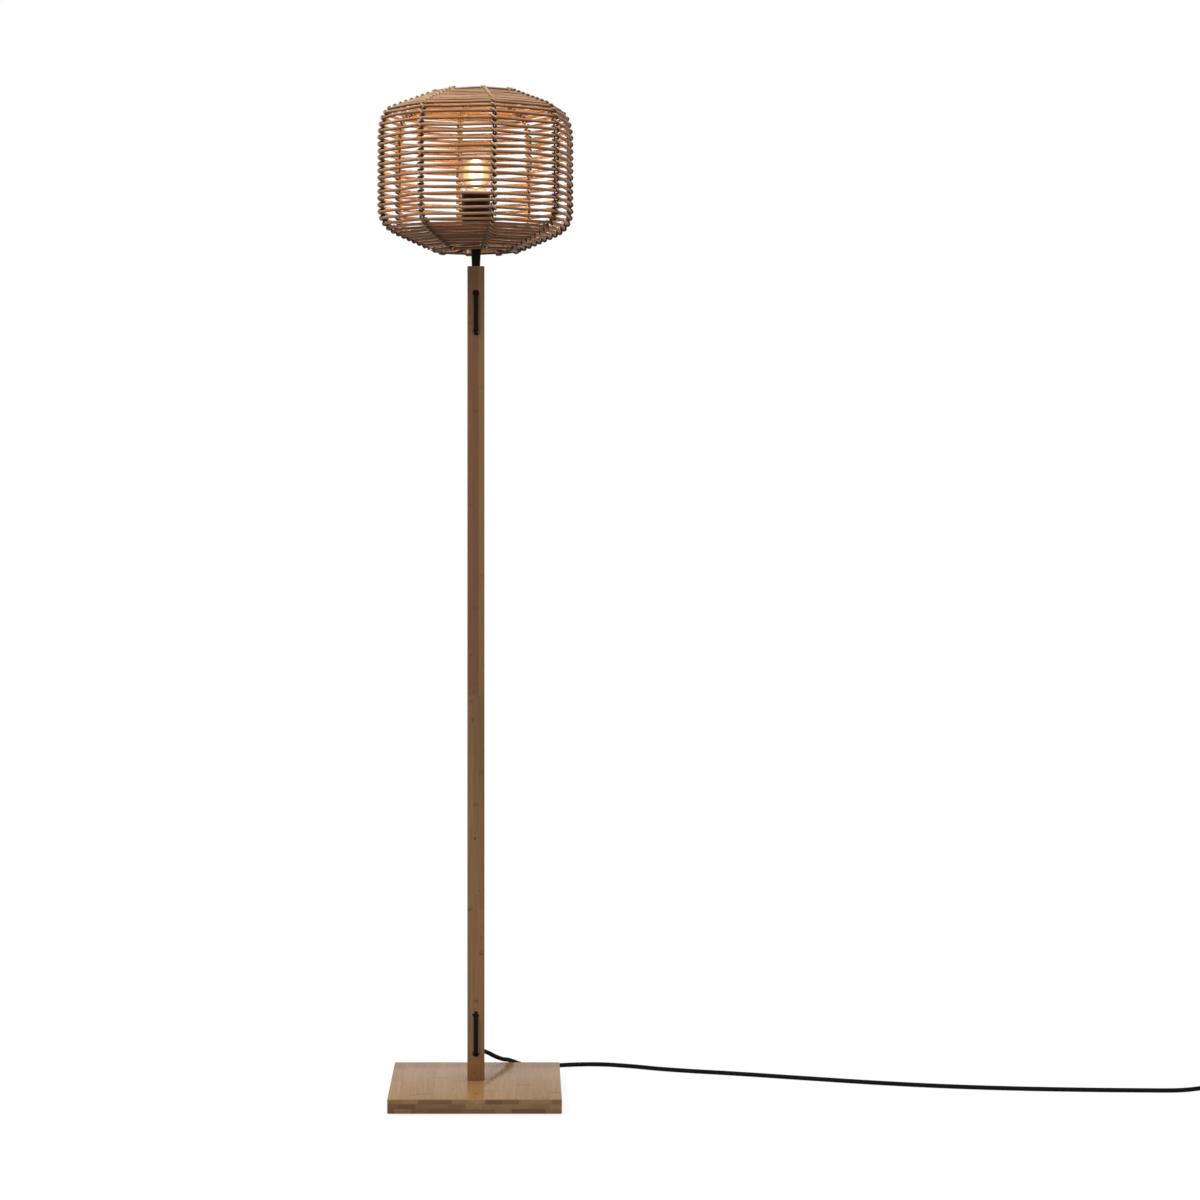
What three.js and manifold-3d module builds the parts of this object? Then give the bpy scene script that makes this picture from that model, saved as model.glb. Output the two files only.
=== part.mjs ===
// Rattan floor lamp, in millimetres. The origin is the point of the floor under the pole's axis, +Z is up and
// +Y points away from the viewer. A bamboo base plate carries a square bamboo pole with a lit bulb in a
// lantern of rattan canes on top. The cord is threaded through four holes of the pole and then lies on the
// floor, with a foot switch, a tied coil and a plug.
import * as THREE from "three";
import { mergeVertices } from "three/addons/utils/BufferGeometryUtils.js";
import Module from "manifold-3d";

const wasm = await Module();
wasm.setup();

// Driving dimensions
const clearance = 0.3; // between two pieces that seat on each other or run past each other
const overrun = 2; // how far a cutter reaches past the face that it cuts

const pad = { diameter: 20, thickness: 1.5, inset: 22 };
const plate = { side: 250, thickness: 21, edge: 1, ahead: 9 }; // ahead: its middle before the pole's axis
const counterbore = { diameter: 26, depth: 8 };
const washer = { diameter: 24, thickness: 2 };
const bolt = { diameter: 8, length: 37, headDiameter: 13, headHeight: 4.5 };
const lowerInsert = { diameter: 11, length: 25 };
const pin = { diameter: 4, length: 20, offset: 8.2 };

const pole = { width: 25, length: 1200, edge: 0.8 };
const crossHole = { diameter: 10, fromEnd: 40, spacing: 57 };
const axialBore = { diameter: 12, past: 5 }; // past: its depth below the axis of the uppermost cross hole
const upperInsert = { diameter: 13, length: 20 };

const tube = { diameter: 10, wall: 1, intoPole: 18, intoHolder: 12 };
const sleeve = { lowerDiameter: 12.4, upperDiameter: 15, height: 29.5 };
const nut = { width: 14, height: 4 };
const spider = { diameter: 30, thickness: 2, spokeDiameter: 3.5, spokes: 4 };

const holder = { diameter: 43, capHeight: 37, bodyHeight: 40, floor: 3, capWall: 4.5, bodyWall: 2 };
const insert = { thickness: 8 };
const shell = { bore: 27.2, wall: 0.8, height: 30, flange: 1, flangeBore: 16 };
const contact = { diameter: 10, thickness: 2.2 };
const grip = { diameter: 20, height: 9 };
const lead = { diameter: 2, apart: 7, rise: 3 };

const bulb = { globe: 51, globeCentre: 69.5, neck: 32, glass: 0.8, neckRise: 40 };
const bulbCap = { diameter: 26.4, wall: 0.6, height: 22.7, lip: 3 };
const bulbTip = { diameter: 9, upperDiameter: 19, height: 3.5 };
const glassStem = { diameter: 5, footDiameter: 22, footHeight: 2, footRise: 9 };
const filament = { diameter: 1.8, length: 31, lowerRadius: 6.5, upperRadius: 3, count: 4, rise: 50 };
const filamentPlate = { thickness: 1 };

const rim = { radius: 61.5, diameter: 6, below: 5.5 }; // below: the lower rim's axis under the sleeve's top
const shade = { radius: 142.5, height: 232, lowerRise: 35, upperDrop: 31, roundShare: 0.6 };
// How far each round corner of the lantern's profile runs along the slope and along the side, and where the
// ribs bend, measured from the corner: below zero on the slope, above zero on the side
const shoulder = { slope: 18, side: 40, bends: [-18, -13, -8, -2, 6, 18, 34] };
const hip = { slope: 27, side: 25, bends: [-27, -18, -9, 0, 8, 17] };
const cane = { diameter: 5.5, fromRim: 8.8, belowShoulder: 10 };
const loops = { upper: 10, side: 14, lower: 9, steps: 16, sides: 5 };
const rib = { diameter: 4.5, count: 8, turnDegrees: 11.3 }; // turnDegrees: from the front to the first rib
const strand = { diameter: 2.6 };

const cord = { diameter: 6.5, heldBend: 6.05, lean: 1.4, faceInset: 2.5 };
const coil = { x: 1256, y: 125, outerRadius: 44.4, pitch: 7.1, climbDip: 1.8 };
const coilLoops = { layer: 2.25, climb: 0.5, steps: 24, sides: 6 };
const tie = { width: 8, thickness: 0.8 };

const switchAt = { x: 1180, y: 8 };
const footSwitch = { length: 92, width: 46, height: 24, wall: 2.4, corner: 16, edge: 3, split: 9 };
const button = { diameter: 24, proud: 3, travel: 3, flange: 2.5, flangeHeight: 3 };
const contactBlock = { length: 34, width: 20 };
const screw = { diameter: 3, headDiameter: 6, headHeight: 2, length: 14, inset: 13, post: 8 };
const relief = { length: 25, neck: 9, tip: 8, flange: 12, flangeThickness: 2 };

const plug = { y: 200, length: 34, width: 26, tailWidth: 14, height: 14, edge: 1.5, pinDepth: 6 };
const plugPin = { diameter: 4, length: 19, apart: 18.6 };
const plugRelief = { length: 22, neck: 9.5, tip: 8, seat: 1.2 };

// Heights that follow from them
const plateBottom = pad.thickness;
const plateTop = plateBottom + plate.thickness;
const poleTop = plateTop + pole.length;
const sleeveTop = poleTop + sleeve.height;
const holderBottom = sleeveTop + spider.thickness;
const capTop = holderBottom + holder.capHeight;
const insertTop = capTop + insert.thickness;
const holderTop = capTop + holder.bodyHeight;
const bulbBottom = insertTop + contact.thickness + clearance;
const globeCentre = capTop + bulb.globeCentre;
const lowerRimZ = sleeveTop - rim.below;
const upperRimZ = lowerRimZ + shade.height;
const half = pole.width / 2;
const cordRadius = cord.diameter / 2;
const holeHeights = [
  poleTop - crossHole.fromEnd,
  poleTop - crossHole.fromEnd - crossHole.spacing,
  plateTop + crossHole.fromEnd + crossHole.spacing,
  plateTop + crossHole.fromEnd,
];

// Finishes, each with the colour, roughness and metalness of the real surface
const finish = (color, roughness, metalness = 0) =>
  new THREE.MeshStandardMaterial({ color, roughness, metalness });
const bamboo = finish(0xb29879, 0.4);
const bambooPole = finish(0x876a4b, 0.4);
const rattan = finish(0xa5774c, 0.55);
const rattanStrand = finish(0x8f6540, 0.6);
const blackBakelite = finish(0x14100c, 0.35);
const blackPlastic = finish(0x16120f, 0.45);
const textile = finish(0x1c1814, 0.9);
const brass = finish(0xb8954f, 0.3, 1);
const steel = finish(0xb5b5b3, 0.35, 1);
const blackSteel = finish(0x1a1714, 0.45, 0.6);
const ceramic = finish(0xe8e4da, 0.4);
const felt = finish(0x4b453e, 0.95);
const glass = finish(0xf4efe6, 0.05);
const glow = finish(0xffd9a0, 0.6);
const blackGlass = finish(0x120e0c, 0.2);

// Closed geometry in and out of the cutting library
function solidOf(geometry) {
  const bare = (geometry.index ? geometry.toNonIndexed() : geometry.clone()).deleteAttribute("normal");
  const merged = mergeVertices(bare.deleteAttribute("uv"), 1e-4);
  const vertProperties = merged.attributes.position.array;
  const triVerts = new Uint32Array(merged.index.array);
  const made = new wasm.Manifold(new wasm.Mesh({ numProp: 3, vertProperties, triVerts }));
  if (made.volume() >= 0) return made;
  triVerts.reverse();
  return new wasm.Manifold(new wasm.Mesh({ numProp: 3, vertProperties, triVerts }));
}

function geometryOf(solid) {
  const { vertProperties, triVerts } = solid.getMesh();
  const geometry = new THREE.BufferGeometry();
  geometry.setAttribute("position", new THREE.BufferAttribute(vertProperties, 3));
  geometry.setIndex(new THREE.BufferAttribute(triVerts, 1));
  geometry.computeVertexNormals();
  return geometry;
}

const closed = (geometry) => geometryOf(solidOf(geometry));
const join = (...parts) => geometryOf(parts.map(solidOf).reduce((whole, part) => whole.add(part)));
const cut = (body, ...cutters) =>
  geometryOf(cutters.map(solidOf).reduce((left, part) => left.subtract(part), solidOf(body)));

// Round shapes on the Z axis
const rod = (diameter, bottom, top, sides = 16) =>
  new THREE.CylinderGeometry(diameter / 2, diameter / 2, top - bottom, sides)
    .rotateX(Math.PI / 2)
    .translate(0, 0, (bottom + top) / 2);
const ring = (outer, inner, bottom, top, sides = 16) =>
  cut(rod(outer, bottom, top, sides), rod(inner, bottom - overrun, top + overrun));
const turned = (profile, sides = 20) => {
  const points = profile.map(([r, z]) => new THREE.Vector2(r, z));
  return closed(new THREE.LatheGeometry(points, sides).rotateX(Math.PI / 2));
};
const rodAlongY = (diameter, from, to, z, sides = 16) =>
  rod(diameter, from, to, sides).rotateX(-Math.PI / 2).translate(0, 0, z);
const box = (x0, x1, y0, y1, z0, z1) =>
  new THREE.BoxGeometry(x1 - x0, y1 - y0, z1 - z0).translate((x0 + x1) / 2, (y0 + y1) / 2, (z0 + z1) / 2);

// A tube through points, as rings joined side by side. Its radius is one number or a list with one for each
// point, and across is a direction that the path keeps clear of.
function sweep(points, radius, sides, across, looped = false) {
  const vertices = [];
  const faces = [];
  const last = points.length - 1;
  points.forEach((point, i) => {
    const before = points[i ? i - 1 : looped ? last : 0];
    const after = points[i < last ? i + 1 : looped ? 0 : last];
    const along = after.clone().sub(before).normalize();
    const side = new THREE.Vector3().crossVectors(across, along).normalize();
    const over = new THREE.Vector3().crossVectors(along, side);
    for (let k = 0; k < sides; k++) {
      const angle = (2 * Math.PI * k) / sides;
      const reach = Array.isArray(radius) ? radius[i] : radius;
      const vertex = point.clone().addScaledVector(side, reach * Math.cos(angle));
      vertices.push(...vertex.addScaledVector(over, reach * Math.sin(angle)).toArray());
    }
  });
  const rings = looped ? points.length : last;
  for (let i = 0; i < rings; i++)
    for (let k = 0; k < sides; k++) {
      const next = ((i + 1) % points.length) * sides;
      const [a, b] = [i * sides + k, i * sides + ((k + 1) % sides)];
      faces.push(a, b, next + k, b, next + ((k + 1) % sides), next + k);
    }
  if (!looped)
    for (let k = 1; k < sides - 1; k++) {
      faces.push(0, k + 1, k);
      faces.push(last * sides, last * sides + k, last * sides + k + 1);
    }
  const geometry = new THREE.BufferGeometry();
  geometry.setAttribute("position", new THREE.Float32BufferAttribute(vertices, 3));
  geometry.setIndex(faces);
  geometry.setAttribute("normal", new THREE.Float32BufferAttribute(vertices.map(() => 0), 3));
  return closed(geometry);
}

// The least gap between the turns of a wound tube, measured between points that are most of a turn apart
function leastGap(points, diameter, stepsPerLoop) {
  let least = Infinity;
  for (let i = 0; i < points.length; i++)
    for (let j = i + Math.round(0.7 * stepsPerLoop); j < points.length; j++)
      least = Math.min(least, points[i].distanceTo(points[j]));
  return least - diameter;
}

const lamp = new THREE.Group();
const bulbGroup = new THREE.Group();
const switchGroup = new THREE.Group();
const plugGroup = new THREE.Group();
lamp.add(bulbGroup, switchGroup, plugGroup);

function add(name, geometry, material, group = lamp) {
  const mesh = new THREE.Mesh(geometry, material);
  mesh.name = name;
  group.add(mesh);
  return mesh;
}

// Base plate of laminated bamboo, drilled for the pole's bolt and locating pin, on four felt pads
const plateShape = new THREE.Shape();
const plateHalf = plate.side / 2 - plate.edge;
plateShape.moveTo(-plateHalf, -plateHalf);
plateShape.lineTo(plateHalf, -plateHalf);
plateShape.lineTo(plateHalf, plateHalf);
plateShape.lineTo(-plateHalf, plateHalf);
const plateBlank = new THREE.ExtrudeGeometry(plateShape, {
  depth: plate.thickness - 2 * plate.edge,
  bevelThickness: plate.edge,
  bevelSize: plate.edge,
  bevelSegments: 1,
}).translate(0, -plate.ahead, plateBottom + plate.edge);
const washerTop = plateBottom + counterbore.depth;
const boltBore = bolt.diameter + 2 * clearance;
const pinBottom = plateTop - pin.length / 2;
const pinTop = plateTop + pin.length / 2;
const pinHole = rod(pin.diameter + 2 * clearance, pinBottom - clearance, pinTop + clearance, 12);
pinHole.translate(pin.offset, pin.offset, 0);
add(
  "base_plate",
  cut(
    plateBlank,
    rod(boltBore, plateBottom - overrun, plateTop + overrun),
    rod(counterbore.diameter, plateBottom - overrun, washerTop, 24),
    pinHole,
  ),
  bamboo,
);

const padReach = plate.side / 2 - pad.inset;
[[-1, -1], [1, -1], [1, 1], [-1, 1]].forEach(([sx, sy], i) => {
  const mesh = add("floor_pad_" + (i + 1), rod(pad.diameter, 0, pad.thickness), felt);
  mesh.position.set(sx * padReach, sy * padReach - plate.ahead, 0);
});

// Bolt, washer, threaded insert and pin that hold the pole on the plate
const boltSeat = washerTop - washer.thickness;
add("base_washer", ring(washer.diameter, boltBore, boltSeat, washerTop), steel);
const boltHead = rod(bolt.headDiameter, boltSeat - bolt.headHeight, boltSeat, 6);
add("base_bolt", join(boltHead, rod(bolt.diameter, boltSeat - clearance, boltSeat + bolt.length)), steel);
const lowerInsertTop = plateTop + lowerInsert.length;
add("pole_insert_bottom", ring(lowerInsert.diameter, boltBore, plateTop, lowerInsertTop), brass);
add("locating_pin", rod(pin.diameter, pinBottom, pinTop, 12).translate(pin.offset, pin.offset, 0), steel);

// Pole: one laminated bamboo stick with eased edges, a cord bore at the top and four cross holes
const poleShape = new THREE.Shape();
const poleFlat = half - pole.edge;
poleShape.moveTo(-poleFlat, -half);
poleShape.lineTo(poleFlat, -half);
poleShape.lineTo(half, -poleFlat);
poleShape.lineTo(half, poleFlat);
poleShape.lineTo(poleFlat, half);
poleShape.lineTo(-poleFlat, half);
poleShape.lineTo(-half, poleFlat);
poleShape.lineTo(-half, -poleFlat);
const poleBlank = new THREE.ExtrudeGeometry(poleShape, { depth: pole.length, bevelEnabled: false });
poleBlank.translate(0, 0, plateTop);
const upperInsertBottom = poleTop - upperInsert.length;
const crossCuts = holeHeights.map((z, i) => {
  const end = i ? half + overrun : 0;
  return rodAlongY(crossHole.diameter, -half - overrun, end, z);
});
add(
  "pole",
  cut(
    poleBlank,
    rod(lowerInsert.diameter + 2 * clearance, plateTop - overrun, lowerInsertTop + bolt.headHeight),
    pinHole,
    rod(upperInsert.diameter + 2 * clearance, upperInsertBottom, poleTop + overrun),
    rod(axialBore.diameter, holeHeights[0] - axialBore.past, poleTop + overrun),
    ...crossCuts,
  ),
  bambooPole,
);

// Threaded tube in a brass insert, with a tapered sleeve that lifts the holder off the pole
const tubeBore = tube.diameter - 2 * tube.wall;
const overTube = tube.diameter + 2 * clearance;
const tubeTop = holderBottom + tube.intoHolder;
add("pole_insert_top", ring(upperInsert.diameter, overTube, upperInsertBottom, poleTop), brass);
add(
  "threaded_tube",
  turned([
    [tubeBore / 2, poleTop - tube.intoPole],
    [tube.diameter / 2, poleTop - tube.intoPole],
    [tube.diameter / 2, tubeTop],
    [tubeBore / 2, tubeTop],
    [tubeBore / 2, poleTop - tube.intoPole],
  ], 16),
  steel,
);
add(
  "stem_sleeve",
  turned([
    [overTube / 2, poleTop],
    [sleeve.lowerDiameter / 2, poleTop],
    [sleeve.upperDiameter / 2, sleeveTop],
    [overTube / 2, sleeveTop],
    [overTube / 2, poleTop],
  ], 20),
  blackSteel,
);
const nutBottom = holderBottom + holder.floor;
add("tube_nut", ring(nut.width, overTube, nutBottom, nutBottom + nut.height, 6), steel);

// Plan of the lantern: eight sides bowed out a little, with a rib at each corner
const sector = (2 * Math.PI) / rib.count;
const firstRib = THREE.MathUtils.degToRad(rib.turnDegrees);
const flatShare = Math.cos(sector / 2);
function planShare(angle) {
  const fromRib = (((angle - firstRib) % sector) + sector) % sector;
  const octagon = flatShare / Math.cos(fromRib - sector / 2);
  return 1 - shade.roundShare + shade.roundShare * octagon;
}
// Angles are counted from the front, turning towards +X
const around = (angle, radius, z) =>
  new THREE.Vector3(radius * Math.sin(angle), -radius * Math.cos(angle), z);

// Profile of the lantern from the top rim to the bottom rim, through the middle of the canes
const shoulderZ = upperRimZ - shade.upperDrop;
const hipZ = lowerRimZ + shade.lowerRise;
const upperSlope = new THREE.Vector2(shade.radius - rim.radius, -shade.upperDrop);
const lowerSlope = new THREE.Vector2(rim.radius - shade.radius, -shade.lowerRise);
const upperTurn = new THREE.Vector2(shade.radius, shoulderZ);
const lowerTurn = new THREE.Vector2(shade.radius, hipZ);
const upperEnd = upperTurn.clone().addScaledVector(upperSlope.clone().normalize(), -shoulder.slope);
const lowerEnd = lowerTurn.clone().addScaledVector(lowerSlope.clone().normalize(), hip.slope);
const profile = new THREE.Path();
profile.moveTo(rim.radius, upperRimZ);
profile.lineTo(upperEnd.x, upperEnd.y);
profile.quadraticCurveTo(upperTurn.x, upperTurn.y, shade.radius, shoulderZ - shoulder.side);
profile.lineTo(shade.radius, hipZ + hip.side);
profile.quadraticCurveTo(lowerTurn.x, lowerTurn.y, lowerEnd.x, lowerEnd.y);
profile.lineTo(rim.radius, lowerRimZ);
const profileLength = profile.getLength();
const profileAt = (run) => profile.getPoint(THREE.MathUtils.clamp(run / profileLength, 0, 1));
function profileOffset(run, out) {
  const along = profile.getTangent(THREE.MathUtils.clamp(run / profileLength, 0, 1));
  return profileAt(run).add(new THREE.Vector2(-along.y, along.x).multiplyScalar(out));
}

// Top and bottom rims
function rimPoints(z) {
  return Array.from({ length: loops.steps }, (_, i) => {
    const angle = firstRib + (2 * Math.PI * i) / loops.steps;
    return around(angle, rim.radius * planShare(angle), z);
  });
}
const up = new THREE.Vector3(0, 0, 1);
add("shade_rim_top", sweep(rimPoints(upperRimZ), rim.diameter / 2, 6, up, true), rattan);
add("shade_rim_bottom", sweep(rimPoints(lowerRimZ), rim.diameter / 2, 6, up, true), rattan);

// Steel spider that carries the lower rim, clamped between the sleeve and the holder
const spokeTurn = firstRib + sector / 2;
const spokeEnd = rim.radius * planShare(spokeTurn) - rim.diameter / 2 - clearance;
const spokes = Array.from({ length: spider.spokes }, (_, i) => {
  const angle = spokeTurn + (2 * Math.PI * i) / spider.spokes;
  const start = around(angle, spider.diameter / 2 - spider.spokeDiameter, sleeveTop + spider.thickness / 2);
  return sweep([start, around(angle, spokeEnd, lowerRimZ)], spider.spokeDiameter / 2, 8, up);
});
const spiderBlank = join(rod(spider.diameter, sleeveTop, holderBottom), ...spokes);
const aboveSpider = rod(2 * holder.diameter, holderBottom, holderTop);
const besideSleeve = cut(
  rod(spider.diameter, lowerRimZ, sleeveTop),
  rod(sleeve.upperDiameter + 2 * spider.thickness, lowerRimZ - overrun, sleeveTop + overrun),
);
add(
  "shade_spider",
  cut(join(spiderBlank, besideSleeve), aboveSpider, rod(overTube, lowerRimZ - overrun, holderTop)),
  blackSteel,
);

// Canes: three windings, on the upper slope, the side and the lower slope. The end of one meets the next.
const upperStop = upperSlope.length() + cane.belowShoulder;
const lowerStop = profileLength - lowerSlope.length();
const stops = [cane.fromRim, upperStop, lowerStop, profileLength - cane.fromRim];
function winding(from, to, turns, firstTurn) {
  const count = turns * loops.steps;
  return Array.from({ length: count + 1 }, (_, i) => {
    const atEnd = i === count ? clearance / (2 * Math.PI * rim.radius) : 0;
    const turn = i / loops.steps - atEnd;
    const angle = firstRib + sector / 2 + Math.PI + 2 * Math.PI * (firstTurn + turn);
    const at = profileAt(from + ((to - from) * turn) / turns);
    return around(angle, at.x * planShare(angle), at.y);
  });
}
const windings = {
  canes_top: winding(stops[0], stops[1], loops.upper, 0),
  canes_side: winding(stops[1], stops[2], loops.side, loops.upper),
  canes_bottom: winding(stops[2], stops[3], loops.lower, loops.upper + loops.side),
};
for (const [name, points] of Object.entries(windings)) {
  add(name, sweep(points, cane.diameter / 2, loops.sides, up), rattan);
  console.log(name + ": least gap " + leastGap(points, cane.diameter, loops.steps).toFixed(2) + " mm");
}

// Ribs inside the canes. The lashing strand of each runs back outside the canes and wraps both rims.
const ribOut = cane.diameter / 2 + clearance + rib.diameter / 2;
const strandOut = cane.diameter / 2 + clearance + strand.diameter / 2;
const rimReach = (radius) => (rim.diameter / 2 + clearance + radius) / Math.cos(Math.PI / 8);
const ribRuns = [
  (upperSlope.length() - shoulder.slope) / 2,
  ...shoulder.bends.map((bend) => upperSlope.length() + bend),
  profileLength / 2,
  ...hip.bends.map((bend) => lowerStop - bend).reverse(),
  profileLength - (lowerSlope.length() - hip.slope) / 2,
];
function ribLoop(angle) {
  const ends = [upperSlope.clone().normalize().negate(), lowerSlope.clone().normalize()];
  const wrapped = (end, degrees, radius) => {
    const centre = profileAt(end * profileLength);
    const off = ends[end];
    const out = end ? new THREE.Vector2(-off.y, off.x) : new THREE.Vector2(off.y, -off.x);
    const turn = THREE.MathUtils.degToRad(degrees);
    centre.addScaledVector(off, rimReach(radius) * Math.cos(turn));
    return centre.addScaledVector(out, rimReach(radius) * Math.sin(turn));
  };
  const [thick, thin] = [rib.diameter / 2, strand.diameter / 2];
  const line = [
    ...[90, 45, 0, -45].map((degrees) => [wrapped(0, degrees, thin), thin]),
    [wrapped(0, -90, thick), thick],
    ...ribRuns.map((run) => [profileOffset(run, -ribOut), thick]),
    [wrapped(1, -90, thick), thick],
    ...[-45, 0, 45, 90].map((degrees) => [wrapped(1, degrees, thin), thin]),
    ...ribRuns.map((run) => [profileOffset(run, strandOut), thin]).reverse(),
  ];
  const points = line.map(([at]) => around(angle, at.x, at.y));
  return sweep(points, line.map(([, radius]) => radius), 4, around(angle + Math.PI / 2, 1, 0), true);
}
for (let i = 0; i < rib.count; i++)
  add("shade_rib_" + (i + 1), ribLoop(firstRib + i * sector), rattanStrand);

// Lamp holder: cap, body, ceramic insert with screw shell and centre contact, cord grip and two leads
const holderRadius = holder.diameter / 2;
const capInner = holderRadius - holder.capWall;
add(
  "holder_cap",
  turned([
    [overTube / 2, holderBottom],
    [holderRadius, holderBottom],
    [holderRadius, capTop],
    [capInner, capTop],
    [capInner, nutBottom],
    [overTube / 2, nutBottom],
    [overTube / 2, holderBottom],
  ]),
  blackBakelite,
);
const bodyInner = holderRadius - holder.bodyWall;
add(
  "holder_body",
  turned([
    [bodyInner, capTop],
    [holderRadius, capTop],
    [holderRadius, holderTop],
    [bodyInner, holderTop],
    [bodyInner, capTop],
  ]),
  blackBakelite,
);
const leadHole = lead.diameter + 2 * clearance;
const leadPlaces = [-lead.apart / 2, lead.apart / 2];
const leadHoleTop = capTop + insert.thickness / 2;
const leadHoles = leadPlaces.map((x) => rod(leadHole, capTop - overrun, leadHoleTop, 10).translate(x, 0, 0));
add("holder_insert", cut(rod(2 * (bodyInner - clearance), capTop, insertTop, 24), ...leadHoles), ceramic);
const shellInner = shell.bore / 2;
const shellOuter = shellInner + shell.wall;
add(
  "holder_screw_shell",
  turned([
    [shell.flangeBore / 2, insertTop],
    [shellOuter, insertTop],
    [shellOuter, insertTop + shell.height],
    [shellInner, insertTop + shell.height],
    [shellInner, insertTop + shell.flange],
    [shell.flangeBore / 2, insertTop + shell.flange],
    [shell.flangeBore / 2, insertTop],
  ]),
  brass,
);
add("holder_centre_contact", rod(contact.diameter, insertTop, insertTop + contact.thickness), brass);
const gripBottom = tubeTop;
const gripTop = gripBottom + grip.height;
add("cord_grip", ring(grip.diameter, cord.diameter + 2 * clearance, gripBottom, gripTop), blackPlastic);
const backwards = new THREE.Vector3(0, 1, 0);
leadPlaces.forEach((x, i) => {
  const line = [
    [x / 2, gripTop + clearance],
    [x / 2, gripTop + lead.rise],
    [x, capTop - lead.rise],
    [x, leadHoleTop - clearance],
  ];
  const points = line.map(([at, z]) => new THREE.Vector3(at, 0, z));
  add("lead_wire_" + (i + 1), sweep(points, lead.diameter / 2, 6, backwards), brass);
});

// Bulb: tip, screw cap, blown glass with an open neck, glass stem and a cage of four lit filaments
const tipTop = bulbBottom + bulbTip.height;
add(
  "bulb_contact",
  turned([
    [0, bulbBottom],
    [bulbTip.diameter / 2, bulbBottom],
    [bulbTip.upperDiameter / 2, tipTop],
    [0, tipTop],
  ], 16),
  blackGlass,
  bulbGroup,
);
const bulbCapBottom = tipTop + clearance;
const bulbCapTop = bulbCapBottom + bulbCap.height;
const bulbCapRadius = bulbCap.diameter / 2;
add(
  "bulb_screw_cap",
  turned([
    [bulbTip.upperDiameter / 2 - bulbCap.lip / 2, bulbCapBottom],
    [bulbTip.upperDiameter / 2, bulbCapBottom],
    [bulbCapRadius, bulbCapBottom + bulbCap.lip],
    [bulbCapRadius, bulbCapTop],
    [bulbCapRadius - bulbCap.wall, bulbCapTop],
    [bulbCapRadius - bulbCap.wall, bulbCapBottom + bulbCap.lip],
    [bulbTip.upperDiameter / 2 - bulbCap.lip / 2, bulbCapBottom + bulbCap.wall],
    [bulbTip.upperDiameter / 2 - bulbCap.lip / 2, bulbCapBottom],
  ]),
  steel,
  bulbGroup,
);
const neckInCap = bulbCapRadius - bulbCap.wall - clearance;
const neckStart = bulbCapTop - bulbCap.height / 2;
const neckZ = capTop + bulb.neckRise;
const globeRadius = bulb.globe / 2;
const neckAngle = Math.asin(bulb.neck / 2 / globeRadius);
const globeArc = Array.from({ length: 8 }, (_, i) => {
  const angle = neckAngle + ((Math.PI - neckAngle) * i) / 7;
  return [globeRadius * Math.sin(angle), globeCentre - globeRadius * Math.cos(angle)];
});
const glassLine = [
  [neckInCap, neckStart],
  [neckInCap, bulbCapTop],
  [bulb.neck / 2, Math.max(neckZ, bulbCapTop + bulb.glass)],
  ...globeArc,
].map(([r, z]) => new THREE.Vector2(Math.max(r, 0), z));
const innerLine = glassLine.map((at, i) => {
  if (i === glassLine.length - 1) return new THREE.Vector2(0, at.y - bulb.glass);
  if (i < 2) return new THREE.Vector2(at.x - bulb.glass, at.y);
  const middle = new THREE.Vector2(0, i === 2 ? at.y : globeCentre);
  const away = at.clone().sub(middle).normalize();
  return at.clone().addScaledVector(away, -bulb.glass);
});
glassLine[glassLine.length - 1].x = 0;
const glassWall = [...glassLine, ...innerLine.reverse(), glassLine[0]].map((at) => at.toArray());
add("bulb_glass", turned(glassWall), glass, bulbGroup);
const cageBottom = capTop + filament.rise;
const cageTop = cageBottom + filament.length;
const footBottom = neckStart;
const stemTop = cageTop - filamentPlate.thickness - clearance;
add(
  "bulb_stem",
  turned([
    [0, footBottom],
    [glassStem.footDiameter / 2, footBottom],
    [glassStem.footDiameter / 2, footBottom + glassStem.footHeight],
    [glassStem.diameter / 2, footBottom + glassStem.footRise],
    [glassStem.diameter / 2, stemTop],
    [0, stemTop],
  ], 16),
  glass,
  bulbGroup,
);
const cageRods = Array.from({ length: filament.count }, (_, i) => {
  const angle = (2 * Math.PI * (i + 0.5)) / filament.count;
  const foot = around(angle, filament.lowerRadius, cageBottom + filamentPlate.thickness / 2);
  const head = around(angle, filament.upperRadius, cageTop - filamentPlate.thickness / 2);
  return sweep([foot, head], filament.diameter / 2, 6, around(angle, 1, 0));
});
const cagePlateReach = 2 * (filament.lowerRadius + filament.diameter / 2);
add(
  "bulb_filaments",
  cut(
    join(
      rod(cagePlateReach, cageBottom, cageBottom + filamentPlate.thickness),
      rod(2 * filament.upperRadius + filament.diameter, cageTop - filamentPlate.thickness, cageTop),
      ...cageRods,
    ),
    rod(glassStem.diameter + 2 * clearance, cageBottom - overrun, stemTop + clearance),
  ),
  glow,
  bulbGroup,
);

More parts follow.
